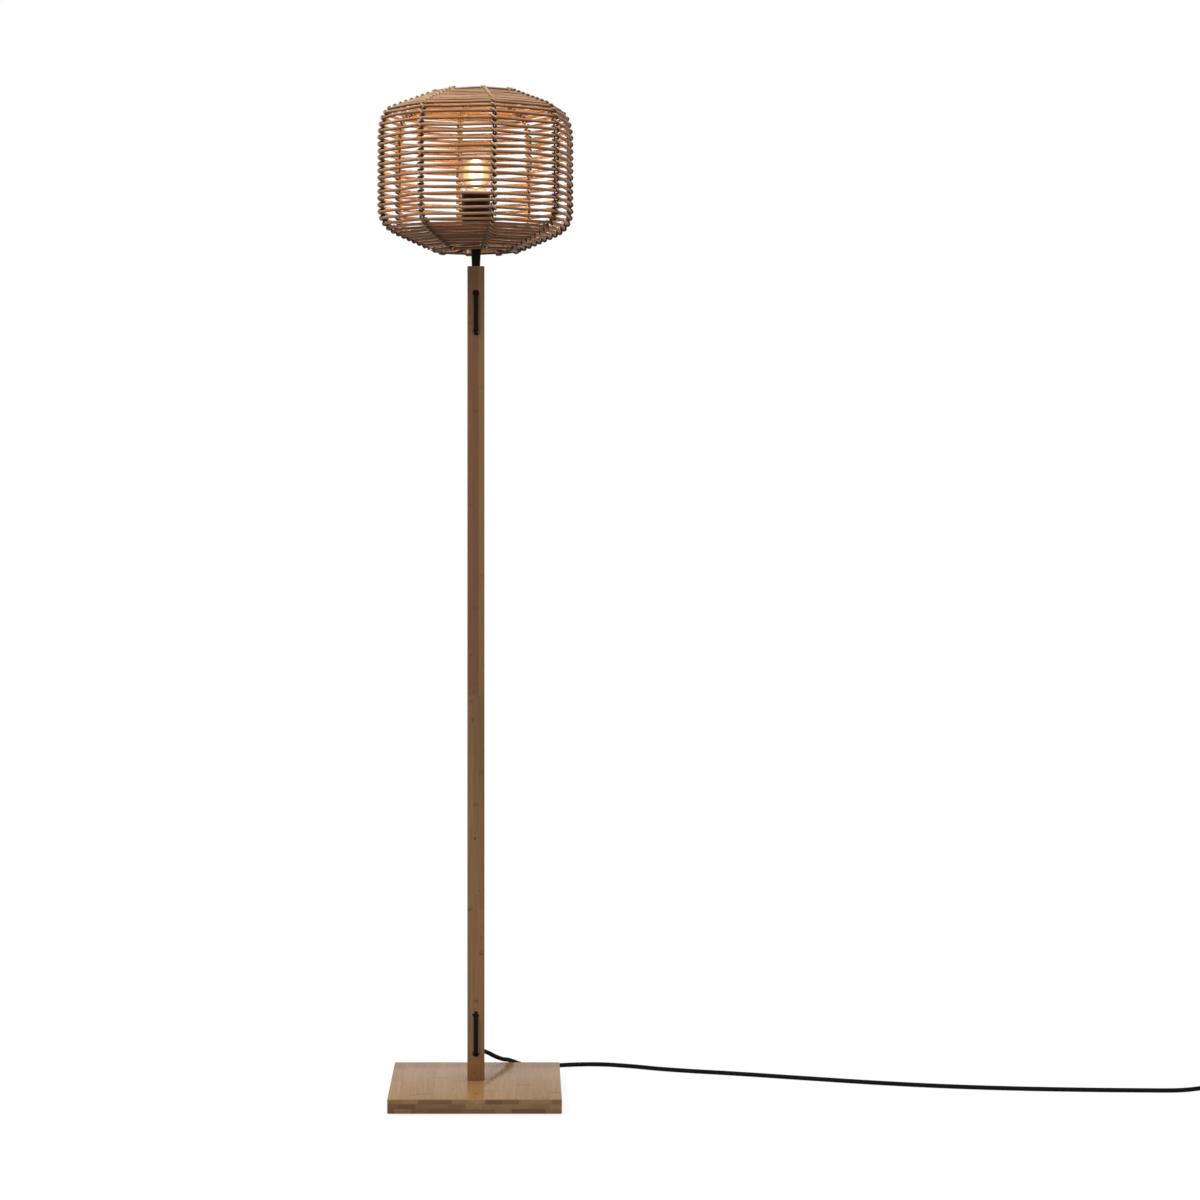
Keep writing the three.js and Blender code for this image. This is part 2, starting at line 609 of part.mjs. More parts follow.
// Cord that the lamp holds: down the tube, out of the front, in and out of the cross holes to the back
const facePlane = half + cordRadius + clearance;
const mouth = half - cord.faceInset;
function quarter(centreY, centreZ, fromDegrees, toDegrees) {
  return Array.from({ length: 5 }, (_, i) => {
    const angle = THREE.MathUtils.degToRad(fromDegrees + ((toDegrees - fromDegrees) * i) / 4);
    return [centreY + cord.heldBend * Math.cos(angle), centreZ + cord.heldBend * Math.sin(angle)];
  });
}
const bend = cord.heldBend;
const [z1, z2, z3, z4] = holeHeights;
const heldLine = [
  [0, gripTop],
  [0, poleTop],
  ...quarter(-bend, z1 + cord.lean + bend, 0, -90),
  ...quarter(-mouth, z1 + cord.lean - bend, 90, 180),
  ...quarter(-mouth, z2 - cord.lean + bend, 180, 270),
  ...quarter(mouth, z2 + cord.lean - bend, 90, 0),
  ...quarter(mouth, z3 - cord.lean + bend, 0, -90),
  ...quarter(-mouth, z3 + cord.lean - bend, 90, 180),
  ...quarter(-mouth, z4 - cord.lean + bend, 180, 270),
  [half - cordRadius, z4],
  [half, z4],
];
const heldPoints = heldLine.map(([y, z]) => new THREE.Vector3(0, y, z));
add("cord_in_pole", sweep(heldPoints, cordRadius, 8, new THREE.Vector3(1, 0, 0)), textile);

// Foot switch on the floor, past the right of the view: base, cover, button, contact block and two screws
const switchPlace = new THREE.Vector3(switchAt.x, switchAt.y, 0);
switchGroup.position.copy(switchPlace);
function roundedOutline(length, width, corner, inset = 0) {
  const [x, y, r] = [length / 2 - inset, width / 2 - inset, corner - inset];
  const shape = new THREE.Shape();
  const arcs = [[x - r, y - r, 0], [r - x, y - r, 1], [r - x, r - y, 2], [x - r, r - y, 3]];
  const steps = 3;
  const points = arcs.flatMap(([cx, cy, quadrant]) =>
    Array.from({ length: steps + 1 }, (_, i) => {
      const angle = (quadrant + i / steps) * (Math.PI / 2);
      return new THREE.Vector2(cx + r * Math.cos(angle), cy + r * Math.sin(angle));
    }),
  );
  shape.setFromPoints(points);
  return shape;
}
const { length: sLength, width: sWidth, height: sHeight, wall: sWall, corner: sCorner } = footSwitch;
function plainSlab(inset, bottom, top) {
  const outline = roundedOutline(sLength, sWidth, sCorner, inset);
  const slab = new THREE.ExtrudeGeometry(outline, { depth: top - bottom, bevelEnabled: false });
  return slab.translate(0, 0, bottom);
}
const coverBlank = new THREE.ExtrudeGeometry(roundedOutline(sLength, sWidth, sCorner, footSwitch.edge), {
  depth: sHeight - footSwitch.split - footSwitch.edge,
  bevelThickness: footSwitch.edge,
  bevelSize: footSwitch.edge,
  bevelSegments: 1,
}).translate(0, 0, footSwitch.split);
const belowSplit = plainSlab(-sWall, -footSwitch.split, footSwitch.split);
const ceiling = sHeight - sWall;
const cordAxisZ = footSwitch.split;
const neckCut = rod(relief.neck + 2 * clearance, -sLength / 2 - overrun, sLength / 2 + overrun, 12)
  .rotateY(Math.PI / 2)
  .translate(0, 0, cordAxisZ);
const screwX = sLength / 2 - screw.inset - relief.flangeThickness;
const screwY = sWidth / 2 - screw.inset;
const screwPlaces = [[-screwX, screwY], [screwX, -screwY]];
const screwHeadTop = screw.headHeight + clearance;
const split = footSwitch.split;
const atScrews = (diameter, bottom, top, sides = 12) =>
  screwPlaces.map(([x, y]) => rod(diameter, bottom, top, sides).translate(x, y, 0));
const posts = atScrews(screw.post, split, ceiling + sWall / 2);
const postHoles = atScrews(screw.diameter + 2 * clearance, 0, screwHeadTop + screw.length + clearance, 10);
const headHoles = atScrews(screw.headDiameter + 2 * clearance, -overrun, screwHeadTop);
const lowerPosts = atScrews(screw.post, sWall / 2, split);
const tray = cut(plainSlab(0, 0, split), plainSlab(sWall, sWall, split + overrun));
const trayWithPosts = join(tray, ...lowerPosts);
add("switch_base", cut(trayWithPosts, neckCut, ...headHoles, ...postHoles), blackPlastic, switchGroup);
const buttonHole = rod(button.diameter + 2 * clearance, ceiling - overrun, sHeight + overrun, 24);
const coverShell = cut(coverBlank, belowSplit, plainSlab(sWall, split - overrun, ceiling));
const coverWithPosts = join(coverShell, ...posts);
add("switch_cover", cut(coverWithPosts, buttonHole, neckCut, ...postHoles), blackPlastic, switchGroup);
const flangeTop = ceiling - clearance;
const flangeBottom = flangeTop - button.flangeHeight;
add(
  "switch_button",
  join(
    rod(button.diameter, flangeBottom, sHeight + button.proud, 24),
    rod(button.diameter + 2 * button.flange, flangeBottom, flangeTop, 24),
  ),
  blackPlastic,
  switchGroup,
);
// The block stops the button when it is pressed home
const [blockX, blockY] = [contactBlock.length / 2, contactBlock.width / 2];
const blockTop = flangeBottom - button.travel - clearance;
add("switch_contact_block", box(-blockX, blockX, -blockY, blockY, sWall, blockTop), ceramic, switchGroup);
screwPlaces.forEach(([x, y], i) => {
  const head = rod(screw.headDiameter, clearance, screw.headHeight, 12);
  const shaft = rod(screw.diameter, clearance, screw.headHeight + screw.length, 10);
  const mesh = add("switch_screw_" + (i + 1), join(head, shaft), steel, switchGroup);
  mesh.position.set(x, y, 0);
});
// Tapered strain reliefs, each with a flange inside the switch and a neck in its wall
const wallInner = sLength / 2 - sWall;
const reliefProfile = [
  [cordRadius + clearance, wallInner - clearance - relief.flangeThickness],
  [relief.flange / 2, wallInner - clearance - relief.flangeThickness],
  [relief.flange / 2, wallInner - clearance],
  [relief.neck / 2, wallInner - clearance],
  [relief.neck / 2, sLength / 2],
  [relief.tip / 2, sLength / 2 + relief.length],
  [cordRadius + clearance, sLength / 2 + relief.length],
  [cordRadius + clearance, wallInner - clearance - relief.flangeThickness],
];
[["switch_relief_in", -1], ["switch_relief_out", 1]].forEach(([name, side]) => {
  const shape = turned(reliefProfile, 12).rotateY((side * Math.PI) / 2);
  add(name, shape, blackPlastic, switchGroup).position.set(0, 0, cordAxisZ);
});

// Free cord as a tube along points chosen by hand
function cordTube(points, steps) {
  const section = new THREE.Shape();
  const corners = Array.from({ length: 8 }, (_, i) => {
    const angle = (2 * Math.PI * i) / 8;
    return new THREE.Vector2(cordRadius * Math.cos(angle), cordRadius * Math.sin(angle));
  });
  section.setFromPoints(corners);
  const path = new THREE.CatmullRomCurve3(points.map((at) => new THREE.Vector3(...at)));
  console.log("cord stretch of " + path.getLength().toFixed(0) + " mm");
  return closed(new THREE.ExtrudeGeometry(section, { steps, bevelEnabled: false, extrudePath: path }));
}
const switchEnd = sLength / 2 - sWall - relief.flangeThickness - clearance;
const runToSwitch = [
  [0, 12.8, 62.5],
  [0, 20, 62.3],
  [3.5, 34, 59],
  [10, 52, 53],
  [18, 70, 46],
  [28, 90, 36.6],
  [39, 108, 28.8],
  [47, 120, 25.2],
  [55, 130, 20.6],
  [64, 140, 15.2],
  [76, 151, 9.8],
  [92, 164, 5.8],
  [112, 176, 3.9],
  [136, 185.5, 3.3],
  [164, 190, 3.25],
  [193, 189.4, 3.25],
  [235, 177, 3.25],
  [280, 157.5, 3.25],
  [325, 142.5, 3.25],
  [370, 130.5, 3.25],
  [415, 117.5, 3.25],
  [459, 103.6, 3.25],
  [504, 89.6, 3.25],
  [600, 61, 3.25],
  [700, 37.5, 3.25],
  [800, 22.5, 3.25],
  [900, 14, 3.25],
  [980, 10, 3.3],
  [1035, 8.7, 3.5],
  [1054, 8.3, 4.6],
  [1074, 8, 7],
  [1092, 8, 9],
  [1106, 8, 9],
  [1120, 8, 9],
  [switchPlace.x - switchEnd, 8, 9],
];
add("cord_run_to_switch", cordTube(runToSwitch, 72), textile);

// Coil: in along the lower layer, up in half a turn, and out again along the upper layer
const coilCentre = new THREE.Vector3(coil.x, coil.y, 0);
const coilLift = tie.thickness + clearance;
const coilTurns = 2 * coilLoops.layer + coilLoops.climb;
function coilPoint(turn) {
  const climb = THREE.MathUtils.clamp((turn - coilLoops.layer) / coilLoops.climb, 0, 1);
  const wound = Math.min(turn, coilLoops.layer, coilTurns - turn);
  const dip = coil.climbDip * Math.sin(Math.PI * climb);
  const radius = coil.outerRadius - coil.pitch * wound - dip;
  const angle = 2 * Math.PI * turn;
  const height = cordRadius + coilLift + coil.pitch * THREE.MathUtils.smoothstep(climb, 0, 1);
  return new THREE.Vector3(radius * Math.cos(angle), radius * Math.sin(angle), height).add(coilCentre);
}
const coilSteps = coilTurns * coilLoops.steps;
const coilPoints = Array.from({ length: coilSteps + 1 }, (_, i) => coilPoint(i / coilLoops.steps));
const straight = new THREE.Vector3(0, cord.diameter, 0);
const coilStart = coilPoints[0].clone().sub(straight);
const coilEnd = coilPoints[coilPoints.length - 1].clone().add(straight);
add("cord_coil", sweep([coilStart, ...coilPoints, coilEnd], cordRadius, coilLoops.sides, up), textile);
const coilGap = leastGap(coilPoints, cord.diameter, coilLoops.steps);
console.log("cord_coil: least gap " + coilGap.toFixed(2) + " mm");

const runToCoil = [
  [switchPlace.x + switchEnd, 8, 9],
  [1236, 8, 9],
  [1254, 8, 9],
  [1270, 9.2, 7.8],
  [1287, 17, 5.4],
  [1297, 32, 3.8],
  [1300.2, 50, 3.4],
  [1300.4, 70, 3.4],
  [1300.4, 88, 4],
  [1300.4, 102, 4.35],
  [1300.4, 110, 4.35],
  [1300.4, 118.2, 4.35],
];
add("cord_run_to_coil", cordTube(runToCoil, 14), textile);

// Flat two-pin plug beside the coil, with its strain relief towards the coil
const plugPlace = new THREE.Vector3(coil.x + coil.outerRadius, plug.y, plug.height / 2);
plugGroup.position.copy(plugPlace);
const runToPlug = [
  [1300.4, 131.8, 11.45],
  [1300.4, 138, 11.45],
  [1300.4, 147, 11],
  [1300.4, 160, 9.4],
  [1300.4, 174, 7.5],
  [1300.4, 186, 7],
  [1300.4, 194, 7],
  [1300.4, 200.9, 7],
];
add("cord_run_to_plug", cordTube(runToPlug, 8), textile);

const plugOutline = new THREE.Shape();
const [frontHalf, tailHalf] = [plug.width / 2 - plug.edge, plug.tailWidth / 2 - plug.edge];
plugOutline.moveTo(-tailHalf, plug.edge);
plugOutline.lineTo(tailHalf, plug.edge);
plugOutline.lineTo(frontHalf, plug.length / 2);
plugOutline.lineTo(frontHalf, plug.length - plug.edge);
plugOutline.lineTo(-frontHalf, plug.length - plug.edge);
plugOutline.lineTo(-frontHalf, plug.length / 2);
const plugBlank = new THREE.ExtrudeGeometry(plugOutline, {
  depth: plug.height - 2 * plug.edge,
  bevelThickness: plug.edge,
  bevelSize: plug.edge,
  bevelSegments: 1,
}).translate(0, plugRelief.length, plug.edge - plug.height / 2);
const plugFace = plugRelief.length + plug.length;
const pinRoot = plugFace - plug.pinDepth;
const pinPlaces = [-plugPin.apart / 2, plugPin.apart / 2];
const pinBore = plugPin.diameter + 2 * clearance;
const pinSockets = pinPlaces.map((x) =>
  rodAlongY(pinBore, pinRoot - clearance, plugFace + overrun, 0, 12).translate(x, 0, 0),
);
const overCord = cordRadius + clearance;
const plugReliefEnd = plugRelief.length + plug.length / 4;
const reliefSeat = rodAlongY(plugRelief.neck + 2 * clearance, 0, plugReliefEnd + clearance, 0, 12);
add("plug_body", cut(plugBlank, ...pinSockets, reliefSeat), blackPlastic, plugGroup);
pinPlaces.forEach((x, i) => {
  const shaft = rodAlongY(plugPin.diameter, pinRoot, plugFace + plugPin.length, 0, 12);
  add("plug_pin_" + (i + 1), shaft, steel, plugGroup).position.x = x;
});
add(
  "plug_relief",
  turned([
    [overCord, 0],
    [plugRelief.tip / 2, 0],
    [plugRelief.neck / 2, plugRelief.length],
    [plugRelief.neck / 2, plugReliefEnd],
    [0, plugReliefEnd],
    [0, plugRelief.seat],
    [overCord, plugRelief.seat],
    [overCord, 0],
  ], 12).rotateX(-Math.PI / 2),
  blackPlastic,
  plugGroup,
);

// Tie: a flat strap round all the turns of the coil
const tieInner = coil.outerRadius - coil.pitch * coilLoops.layer - coil.climbDip - cordRadius - clearance;
const tieOuter = coil.outerRadius + cordRadius + clearance;
const tieTop = coilLift + cord.diameter + coil.pitch + clearance;
const [strapX, strapWall] = [tie.width / 2, tie.thickness];
const strap = box(-strapX, strapX, tieInner - strapWall, tieOuter + strapWall, 0, tieTop + strapWall);
const strapHole = box(-tie.width, tie.width, tieInner, tieOuter, strapWall, tieTop);
const strapMesh = add("cord_tie", cut(strap, strapHole), blackPlastic);
strapMesh.position.copy(coilCentre);

export default lamp;
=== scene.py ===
import math

import bmesh
import bpy
from mathutils import Matrix, Vector, noise


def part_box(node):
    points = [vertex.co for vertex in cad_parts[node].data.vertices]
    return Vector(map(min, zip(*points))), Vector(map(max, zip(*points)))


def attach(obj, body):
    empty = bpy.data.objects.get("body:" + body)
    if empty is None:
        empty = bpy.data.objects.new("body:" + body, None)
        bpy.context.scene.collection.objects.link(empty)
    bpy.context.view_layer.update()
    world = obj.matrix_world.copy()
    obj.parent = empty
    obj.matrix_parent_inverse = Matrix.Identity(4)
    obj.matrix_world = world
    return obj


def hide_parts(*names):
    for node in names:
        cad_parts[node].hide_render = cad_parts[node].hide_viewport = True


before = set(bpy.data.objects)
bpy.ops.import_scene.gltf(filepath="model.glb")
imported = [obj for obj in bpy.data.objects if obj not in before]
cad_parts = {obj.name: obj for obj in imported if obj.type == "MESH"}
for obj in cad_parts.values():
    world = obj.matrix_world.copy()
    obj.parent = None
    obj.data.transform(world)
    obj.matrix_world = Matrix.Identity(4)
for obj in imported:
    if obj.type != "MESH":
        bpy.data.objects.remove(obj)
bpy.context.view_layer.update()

# The photograph's view: a level camera at waist height in front of the lamp, with a long lens. Its frame is
# shifted so that the lantern and the base both fit and the cord leaves it on the right.
camera_lens = bpy.data.cameras.new("camera")
camera_lens.lens = 85
camera_lens.sensor_width = 36
camera_lens.shift_x = 0.0667
camera_lens.shift_y = -0.1185
camera = bpy.data.objects.new("camera", camera_lens)
camera.location = (0.065, -4.186, 0.94)
camera.rotation_euler = (math.radians(90), 0, 0)
bpy.context.scene.collection.objects.link(camera)
bpy.context.scene.camera = camera
bpy.context.scene.view_settings.view_transform = "Standard"


# Studio: a white floor that keeps a faint shadow of the lamp, a large soft box above on the left, a weaker
# one on the right and a pale room all round. The camera, glass and metal see the room as plain white.
class Value:
    """What a shader node gives out. A sum with it adds the Math nodes that work the sum out."""

    def __init__(self, shading, socket):
        self.shading = shading
        self.socket = socket

    def other(self, name):
        return Value(self.shading, self.socket.node.outputs[name])

    def __add__(self, term):
        return maths("ADD", self, term)

    def __sub__(self, term):
        return maths("SUBTRACT", self, term)

    def __rsub__(self, term):
        return maths("SUBTRACT", term, self)

    def __mul__(self, term):
        return maths("MULTIPLY", self, term)

    def __truediv__(self, term):
        return maths("DIVIDE", self, term)

    def __mod__(self, term):
        return maths("FLOORED_MODULO", self, term)

    def __abs__(self):
        return maths("ABSOLUTE", self)

    __radd__ = __add__
    __rmul__ = __mul__


def maths(operation, *terms):
    """What a Math node makes of numbers and values, at least one of them a value"""
    shading = next(term.shading for term in terms if isinstance(term, Value))
    return shading.node("ShaderNodeMath", {"operation": operation}, dict(enumerate(terms)))


def paint(code):
    """The linear colour of a painter's code such as b29879"""
    shares = [int(code[i : i + 2], 16) / 255 for i in (0, 2, 4)]
    return (*[s / 12.92 if s <= 0.04045 else ((s + 0.055) / 1.055) ** 2.4 for s in shares], 1.0)


class Shading:
    """The shader nodes of one finish, of the floor or of the room"""

    def __init__(self, owner):
        owner.use_nodes = True
        self.tree = owner.node_tree

    def node(self, kind, settings=None, sockets=None, out=0):
        made = self.tree.nodes.new(kind)
        for name, setting in (settings or {}).items():
            setattr(made, name, setting)
        self.fill(made, sockets or {})
        return Value(self, made.outputs[out])

    def fill(self, made, sockets):
        """Each socket takes a value, a painter's code or plain numbers"""
        for name, filling in sockets.items():
            if isinstance(filling, Value):
                self.tree.links.new(filling.socket, made.inputs[name])
            else:
                made.inputs[name].default_value = paint(filling) if isinstance(filling, str) else filling

    def show(self, share, under, over):
        """The surface shows one shader, with a share of another over it"""
        mixed = self.node("ShaderNodeMixShader", sockets={0: share, 1: under, 2: over})
        self.fill(self.tree.nodes["Material Output"], {"Surface": mixed})

    def mix(self, share, first, second):
        return self.node("ShaderNodeMix", {"data_type": "RGBA"}, {0: share, 6: first, 7: second}, 2)

    def stain_and_shade(self, colour, *coats):
        """Lays coats over a colour, one after another, each as its share and its tint"""
        for share, tint in coats:
            colour = self.mix(share, colour, tint)
        return colour

    def along(self, operation, *vectors, out=0):
        """A sum with vectors, such as how far one lies along another"""
        return self.node("ShaderNodeVectorMath", {"operation": operation}, dict(enumerate(vectors)), out)

    def place(self, kind="Object"):
        return self.node("ShaderNodeTexCoord", out=kind)

    def axes(self, place):
        x = self.node("ShaderNodeSeparateXYZ", sockets={0: place})
        return x, x.other("Y"), x.other("Z")

    def vector(self, x=0.0, y=0.0, z=0.0):
        return self.node("ShaderNodeCombineXYZ", sockets={0: x, 1: y, 2: z})

    def cloud(self, place, scale=1.0, detail=2.0, roughness=0.5):
        sockets = {"Vector": place, "Scale": scale, "Detail": detail, "Roughness": roughness}
        return self.node("ShaderNodeTexNoise", sockets=sockets)

    def chance(self, cell):
        """A number from 0 to 1 that stays the same over a cell of the pattern"""
        return self.node("ShaderNodeTexWhiteNoise", {"noise_dimensions": "1D"}, {"W": cell})

    def between(self, value, low, high, first=0.0, second=1.0):
        """first where value is low, second where it is high, and a smooth change between them"""
        sockets = {"Value": value, "From Min": low, "From Max": high, "To Min": first, "To Max": second}
        return self.node("ShaderNodeMapRange", {"interpolation_type": "SMOOTHSTEP"}, sockets)

    def patches(self, place, low, high, **cloud):
        """Soft-edged patches: 0 where a cloud is under low, 1 where it is over high"""
        return self.between(self.cloud(place, **cloud), low, high)


def mirrored(rays):
    """1 for what a gloss or a mirror shows, and for what is seen through glass"""
    return maths("MAXIMUM", rays.other("Is Glossy Ray"), rays.other("Is Transmission Ray"))


room = bpy.data.worlds.new("room")
bpy.context.scene.world = room
room_shading = Shading(room)
room_rays = room_shading.node("ShaderNodeLightPath")
sees_white = maths("MAXIMUM", room_rays, mirrored(room_rays))
room_height = room_shading.axes(room_shading.place("Generated"))[2]
room_level = room_shading.between(room_height, -0.1, 1.0, 0.03, 1.3)
room_strength = room_level + sees_white * (1 - room_level)
room_light = room_shading.node(
    "ShaderNodeBackground", sockets={"Color": "ffffff", "Strength": room_strength}
)
room_shading.fill(room_shading.tree.nodes["World Output"], {"Surface": room_light})


def soft_box(name, size, watts, place, aim):
    light = bpy.data.lights.new(name, "AREA")
    light.shape = "RECTANGLE"
    light.size, light.size_y = size
    light.energy = watts
    lamp = bpy.data.objects.new(name, light)
    lamp.location = place
    lamp.rotation_euler = (Vector(aim) - Vector(place)).to_track_quat("-Z", "Y").to_euler()
    lamp.visible_camera = False
    lamp.visible_glossy = False
    bpy.context.scene.collection.objects.link(lamp)


soft_box("key_soft_box", size=(1.6, 1.6), watts=84, place=(-1.5, -1.9, 3.3), aim=(0, 0, 0.9))
soft_box("fill_soft_box", size=(1.4, 2.2), watts=14, place=(2.2, -2.2, 1.5), aim=(0, 0, 0.8))


def new_object(name, mesh):
    piece = bpy.data.objects.new(name, mesh)
    bpy.context.scene.collection.objects.link(piece)
    return piece


def put(shape, place, turn=Matrix.Identity(4)):
    """Turns a shape about the origin, then moves it to its place"""
    shape.transform(Matrix.Translation(place) @ turn)


def made(name, shape, sharp=35):
    """The shape as an object, smooth but for edges that turn by more than that many degrees"""
    mesh = bpy.data.meshes.new(name)
    shape.to_mesh(mesh)
    shape.free()
    mesh.shade_smooth()
    mesh.set_sharp_from_angle(angle=math.radians(sharp))
    return new_object(name, mesh)


floor_reach = 14
floor_gap = 0.0003
shadow_near = 0.3
shadow_far = 1.5
floor_shape = bmesh.new()
bmesh.ops.create_grid(floor_shape, x_segments=2, y_segments=2, size=floor_reach)
put(floor_shape, (0, 0, -floor_gap))
floor = made("studio_floor", floor_shape)
paper = bpy.data.materials.new("studio_paper")
floor.data.materials.append(paper)
paper_shading = Shading(paper)
paper_rays = paper_shading.node("ShaderNodeLightPath")
paper_colour = paper_shading.mix(paper_rays, "5c5853", "f2f2f2")
lit_paper = paper_shading.node("ShaderNodeBsdfDiffuse", sockets={"Color": paper_colour})
bright_paper = paper_shading.node("ShaderNodeEmission", sockets={"Color": "ffffff", "Strength": 1.0})
from_lamp = paper_shading.along("LENGTH", paper_shading.place(), out=1)
paper_white = paper_shading.between(from_lamp, shadow_near, shadow_far, 0.84, 1.0)
paper_share = maths("MAXIMUM", paper_rays * paper_white, mirrored(paper_rays))
paper_shading.show(paper_share, lit_paper, bright_paper)


# Free cord: a round lead in a black braided textile sleeve. It leaves the back of the pole, runs down over
# the back edge of the base and along the floor to the foot switch, and goes on to a tied coil and the plug.
class Finish(Shading):
    """A material with its main shader. What is the same all over is set on the shader's own sockets."""

    def __init__(self, name, sockets):
        self.slot = name
        self.material = bpy.data.materials.new(name)
        super().__init__(self.material)
        self.shader = self.tree.nodes["Principled BSDF"]
        self.fill(self.shader, sockets)

    def surface(self, sockets):
        self.fill(self.shader, sockets)

    def relief(self, height, depth):
        """Lets a height from 0 to 1 stand out by that depth in metres"""
        self.surface({"Normal": self.node("ShaderNodeBump", sockets={"Height": height, "Distance": depth})})


def smooth_route(chosen, steps=8):
    """The points of one smooth curve through the chosen ones, the same as the cord's solids follow"""
    chosen = [Vector(point) for point in chosen]
    ends = [2 * chosen[0] - chosen[1], *chosen, 2 * chosen[-1] - chosen[-2]]
    line = []
    for a, b, c, d in zip(ends, ends[1:], ends[2:], ends[3:]):
        before, between, after = [(q - p).length ** 0.5 for p, q in ((a, b), (b, c), (c, d))]
        start = ((b - a) / before - (c - a) / (before + between) + (c - b) / between) * between
        end = ((c - b) / between - (d - b) / (between + after) + (d - c) / after) * between
        for i in range(steps):
            t = i / steps
            curve = 2 * b - 2 * c + start + end
            line.append(b + start * t + (3 * c - 3 * b - 2 * start - end) * t**2 + curve * t**3)
    return line + [chosen[-1]]


def tube(name, line, radii, bevel=4, looped=False):
    """A round tube along a line. Its map runs along it in metres, and once round it from 0 to 1."""
    curve = bpy.data.curves.new(name, "CURVE")
    curve.dimensions = "3D"
    curve.bevel_depth = 1
    curve.bevel_resolution = bevel
    curve.use_fill_caps = True
    spline = curve.splines.new("POLY")
    spline.points.add(len(line) - 1)
    spline.use_cyclic_u = looped
    for i, (point, place) in enumerate(zip(spline.points, line)):
        point.co = (*place, 1)
        point.radius = radii[i] if isinstance(radii, list) else radii
    drawn = new_object(name, curve)
    graph = bpy.context.evaluated_depsgraph_get()
    mesh = bpy.data.meshes.new_from_object(drawn.evaluated_get(graph), depsgraph=graph)
    bpy.data.objects.remove(drawn)
    length = sum((q - p).length for p, q in zip(line, line[1:] + line[:1] * looped))
    for corner in mesh.uv_layers[0].data:
        corner.uv[0] *= length
    shape = bmesh.new()
    shape.from_mesh(mesh)
    bmesh.ops.remove_doubles(shape, verts=shape.verts, dist=1e-6)
    bmesh.ops.recalc_face_normals(shape, faces=shape.faces)
    shape.to_mesh(mesh)
    mesh.shade_smooth()
    mesh.set_sharp_from_angle(angle=math.radians(50))
    return new_object(name, mesh)


def fit(piece, finish, *nodes, body="lamp"):
    """The piece takes its finish, moves with the body, and stands for any CAD nodes that it replaces"""
    if not len(piece.data.materials):
        piece.data.materials.append(finish.material)
    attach(piece, body)
    if nodes:
        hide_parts(*nodes)


def carry(finish, *nodes):
    """CAD nodes whose shape is right take a finish"""
    for node in nodes:
        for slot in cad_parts[node].material_slots:
            slot.material = finish.material


cord_width = 0.0065
strands = 12
braid_pitch = 0.0011
braid_depth = 0.0003
textile = Finish("cord_textile", {"Roughness": 0.8, "Specular IOR Level": 0.12})
along, across = textile.axes(textile.place("UV"))[:2]
one_way = (along / braid_pitch + across * strands) * math.pi
other_way = (along / braid_pitch - across * strands) * math.pi
braid = textile.between(maths("SINE", one_way) * maths("SINE", other_way), -0.6, 0.6)
thread = textile.cloud(textile.vector(along, across * 0.02), 900)
textile_colour = textile.mix(braid, "070504", "17120d")
textile.surface({"Base Color": textile.mix(thread * 0.3, textile_colour, "2a2119")})
textile.relief(braid, braid_depth)

route_to_switch = [
    (0, 0.0128, 0.0625),
    (0, 0.02, 0.0623),
    (0.0035, 0.034, 0.059),
    (0.01, 0.052, 0.053),
    (0.018, 0.07, 0.046),
    (0.028, 0.09, 0.0366),
    (0.039, 0.108, 0.0288),
    (0.047, 0.12, 0.0252),
    (0.055, 0.13, 0.0206),
    (0.064, 0.14, 0.0152),
    (0.076, 0.151, 0.0098),
    (0.092, 0.164, 0.0058),
    (0.112, 0.176, 0.0039),
    (0.136, 0.1855, 0.0033),
    (0.164, 0.19, 0.00325),
    (0.193, 0.1894, 0.00325),
    (0.235, 0.177, 0.00325),
    (0.28, 0.1575, 0.00325),
    (0.325, 0.1425, 0.00325),
    (0.37, 0.1305, 0.00325),
    (0.415, 0.1175, 0.00325),
    (0.459, 0.1036, 0.00325),
    (0.504, 0.0896, 0.00325),
    (0.6, 0.061, 0.00325),
    (0.7, 0.0375, 0.00325),
    (0.8, 0.0225, 0.00325),
    (0.9, 0.014, 0.00325),
    (0.98, 0.01, 0.0033),
    (1.035, 0.0087, 0.0035),
    (1.054, 0.0083, 0.0046),
    (1.074, 0.008, 0.007),
    (1.092, 0.008, 0.009),
    (1.106, 0.008, 0.009),
    (1.12, 0.008, 0.009),
    (1.1387, 0.008, 0.009),
]
route_to_coil = [
    (1.2213, 0.008, 0.009),
    (1.236, 0.008, 0.009),
    (1.254, 0.008, 0.009),
    (1.27, 0.0092, 0.0078),
    (1.287, 0.017, 0.0054),
    (1.297, 0.032, 0.0038),
    (1.3002, 0.05, 0.0034),
    (1.3004, 0.07, 0.0034),
    (1.3004, 0.088, 0.004),
    (1.3004, 0.102, 0.00435),
    (1.3004, 0.11, 0.00435),
    (1.3004, 0.1182, 0.00435),
]
route_to_plug = [
    (1.3004, 0.1318, 0.01145),
    (1.3004, 0.138, 0.01145),
    (1.3004, 0.147, 0.011),
    (1.3004, 0.16, 0.0094),
    (1.3004, 0.174, 0.0075),
    (1.3004, 0.186, 0.007),
    (1.3004, 0.194, 0.007),
    (1.3004, 0.2009, 0.007),
]
coil_centre = Vector((1.256, 0.125, 0))
coil_radius = 0.0444
coil_pitch = 0.0071
layer_loops = 2.25
climb_loops = 0.5
climb_dip = 0.0018
lowest_coil = 0.00435


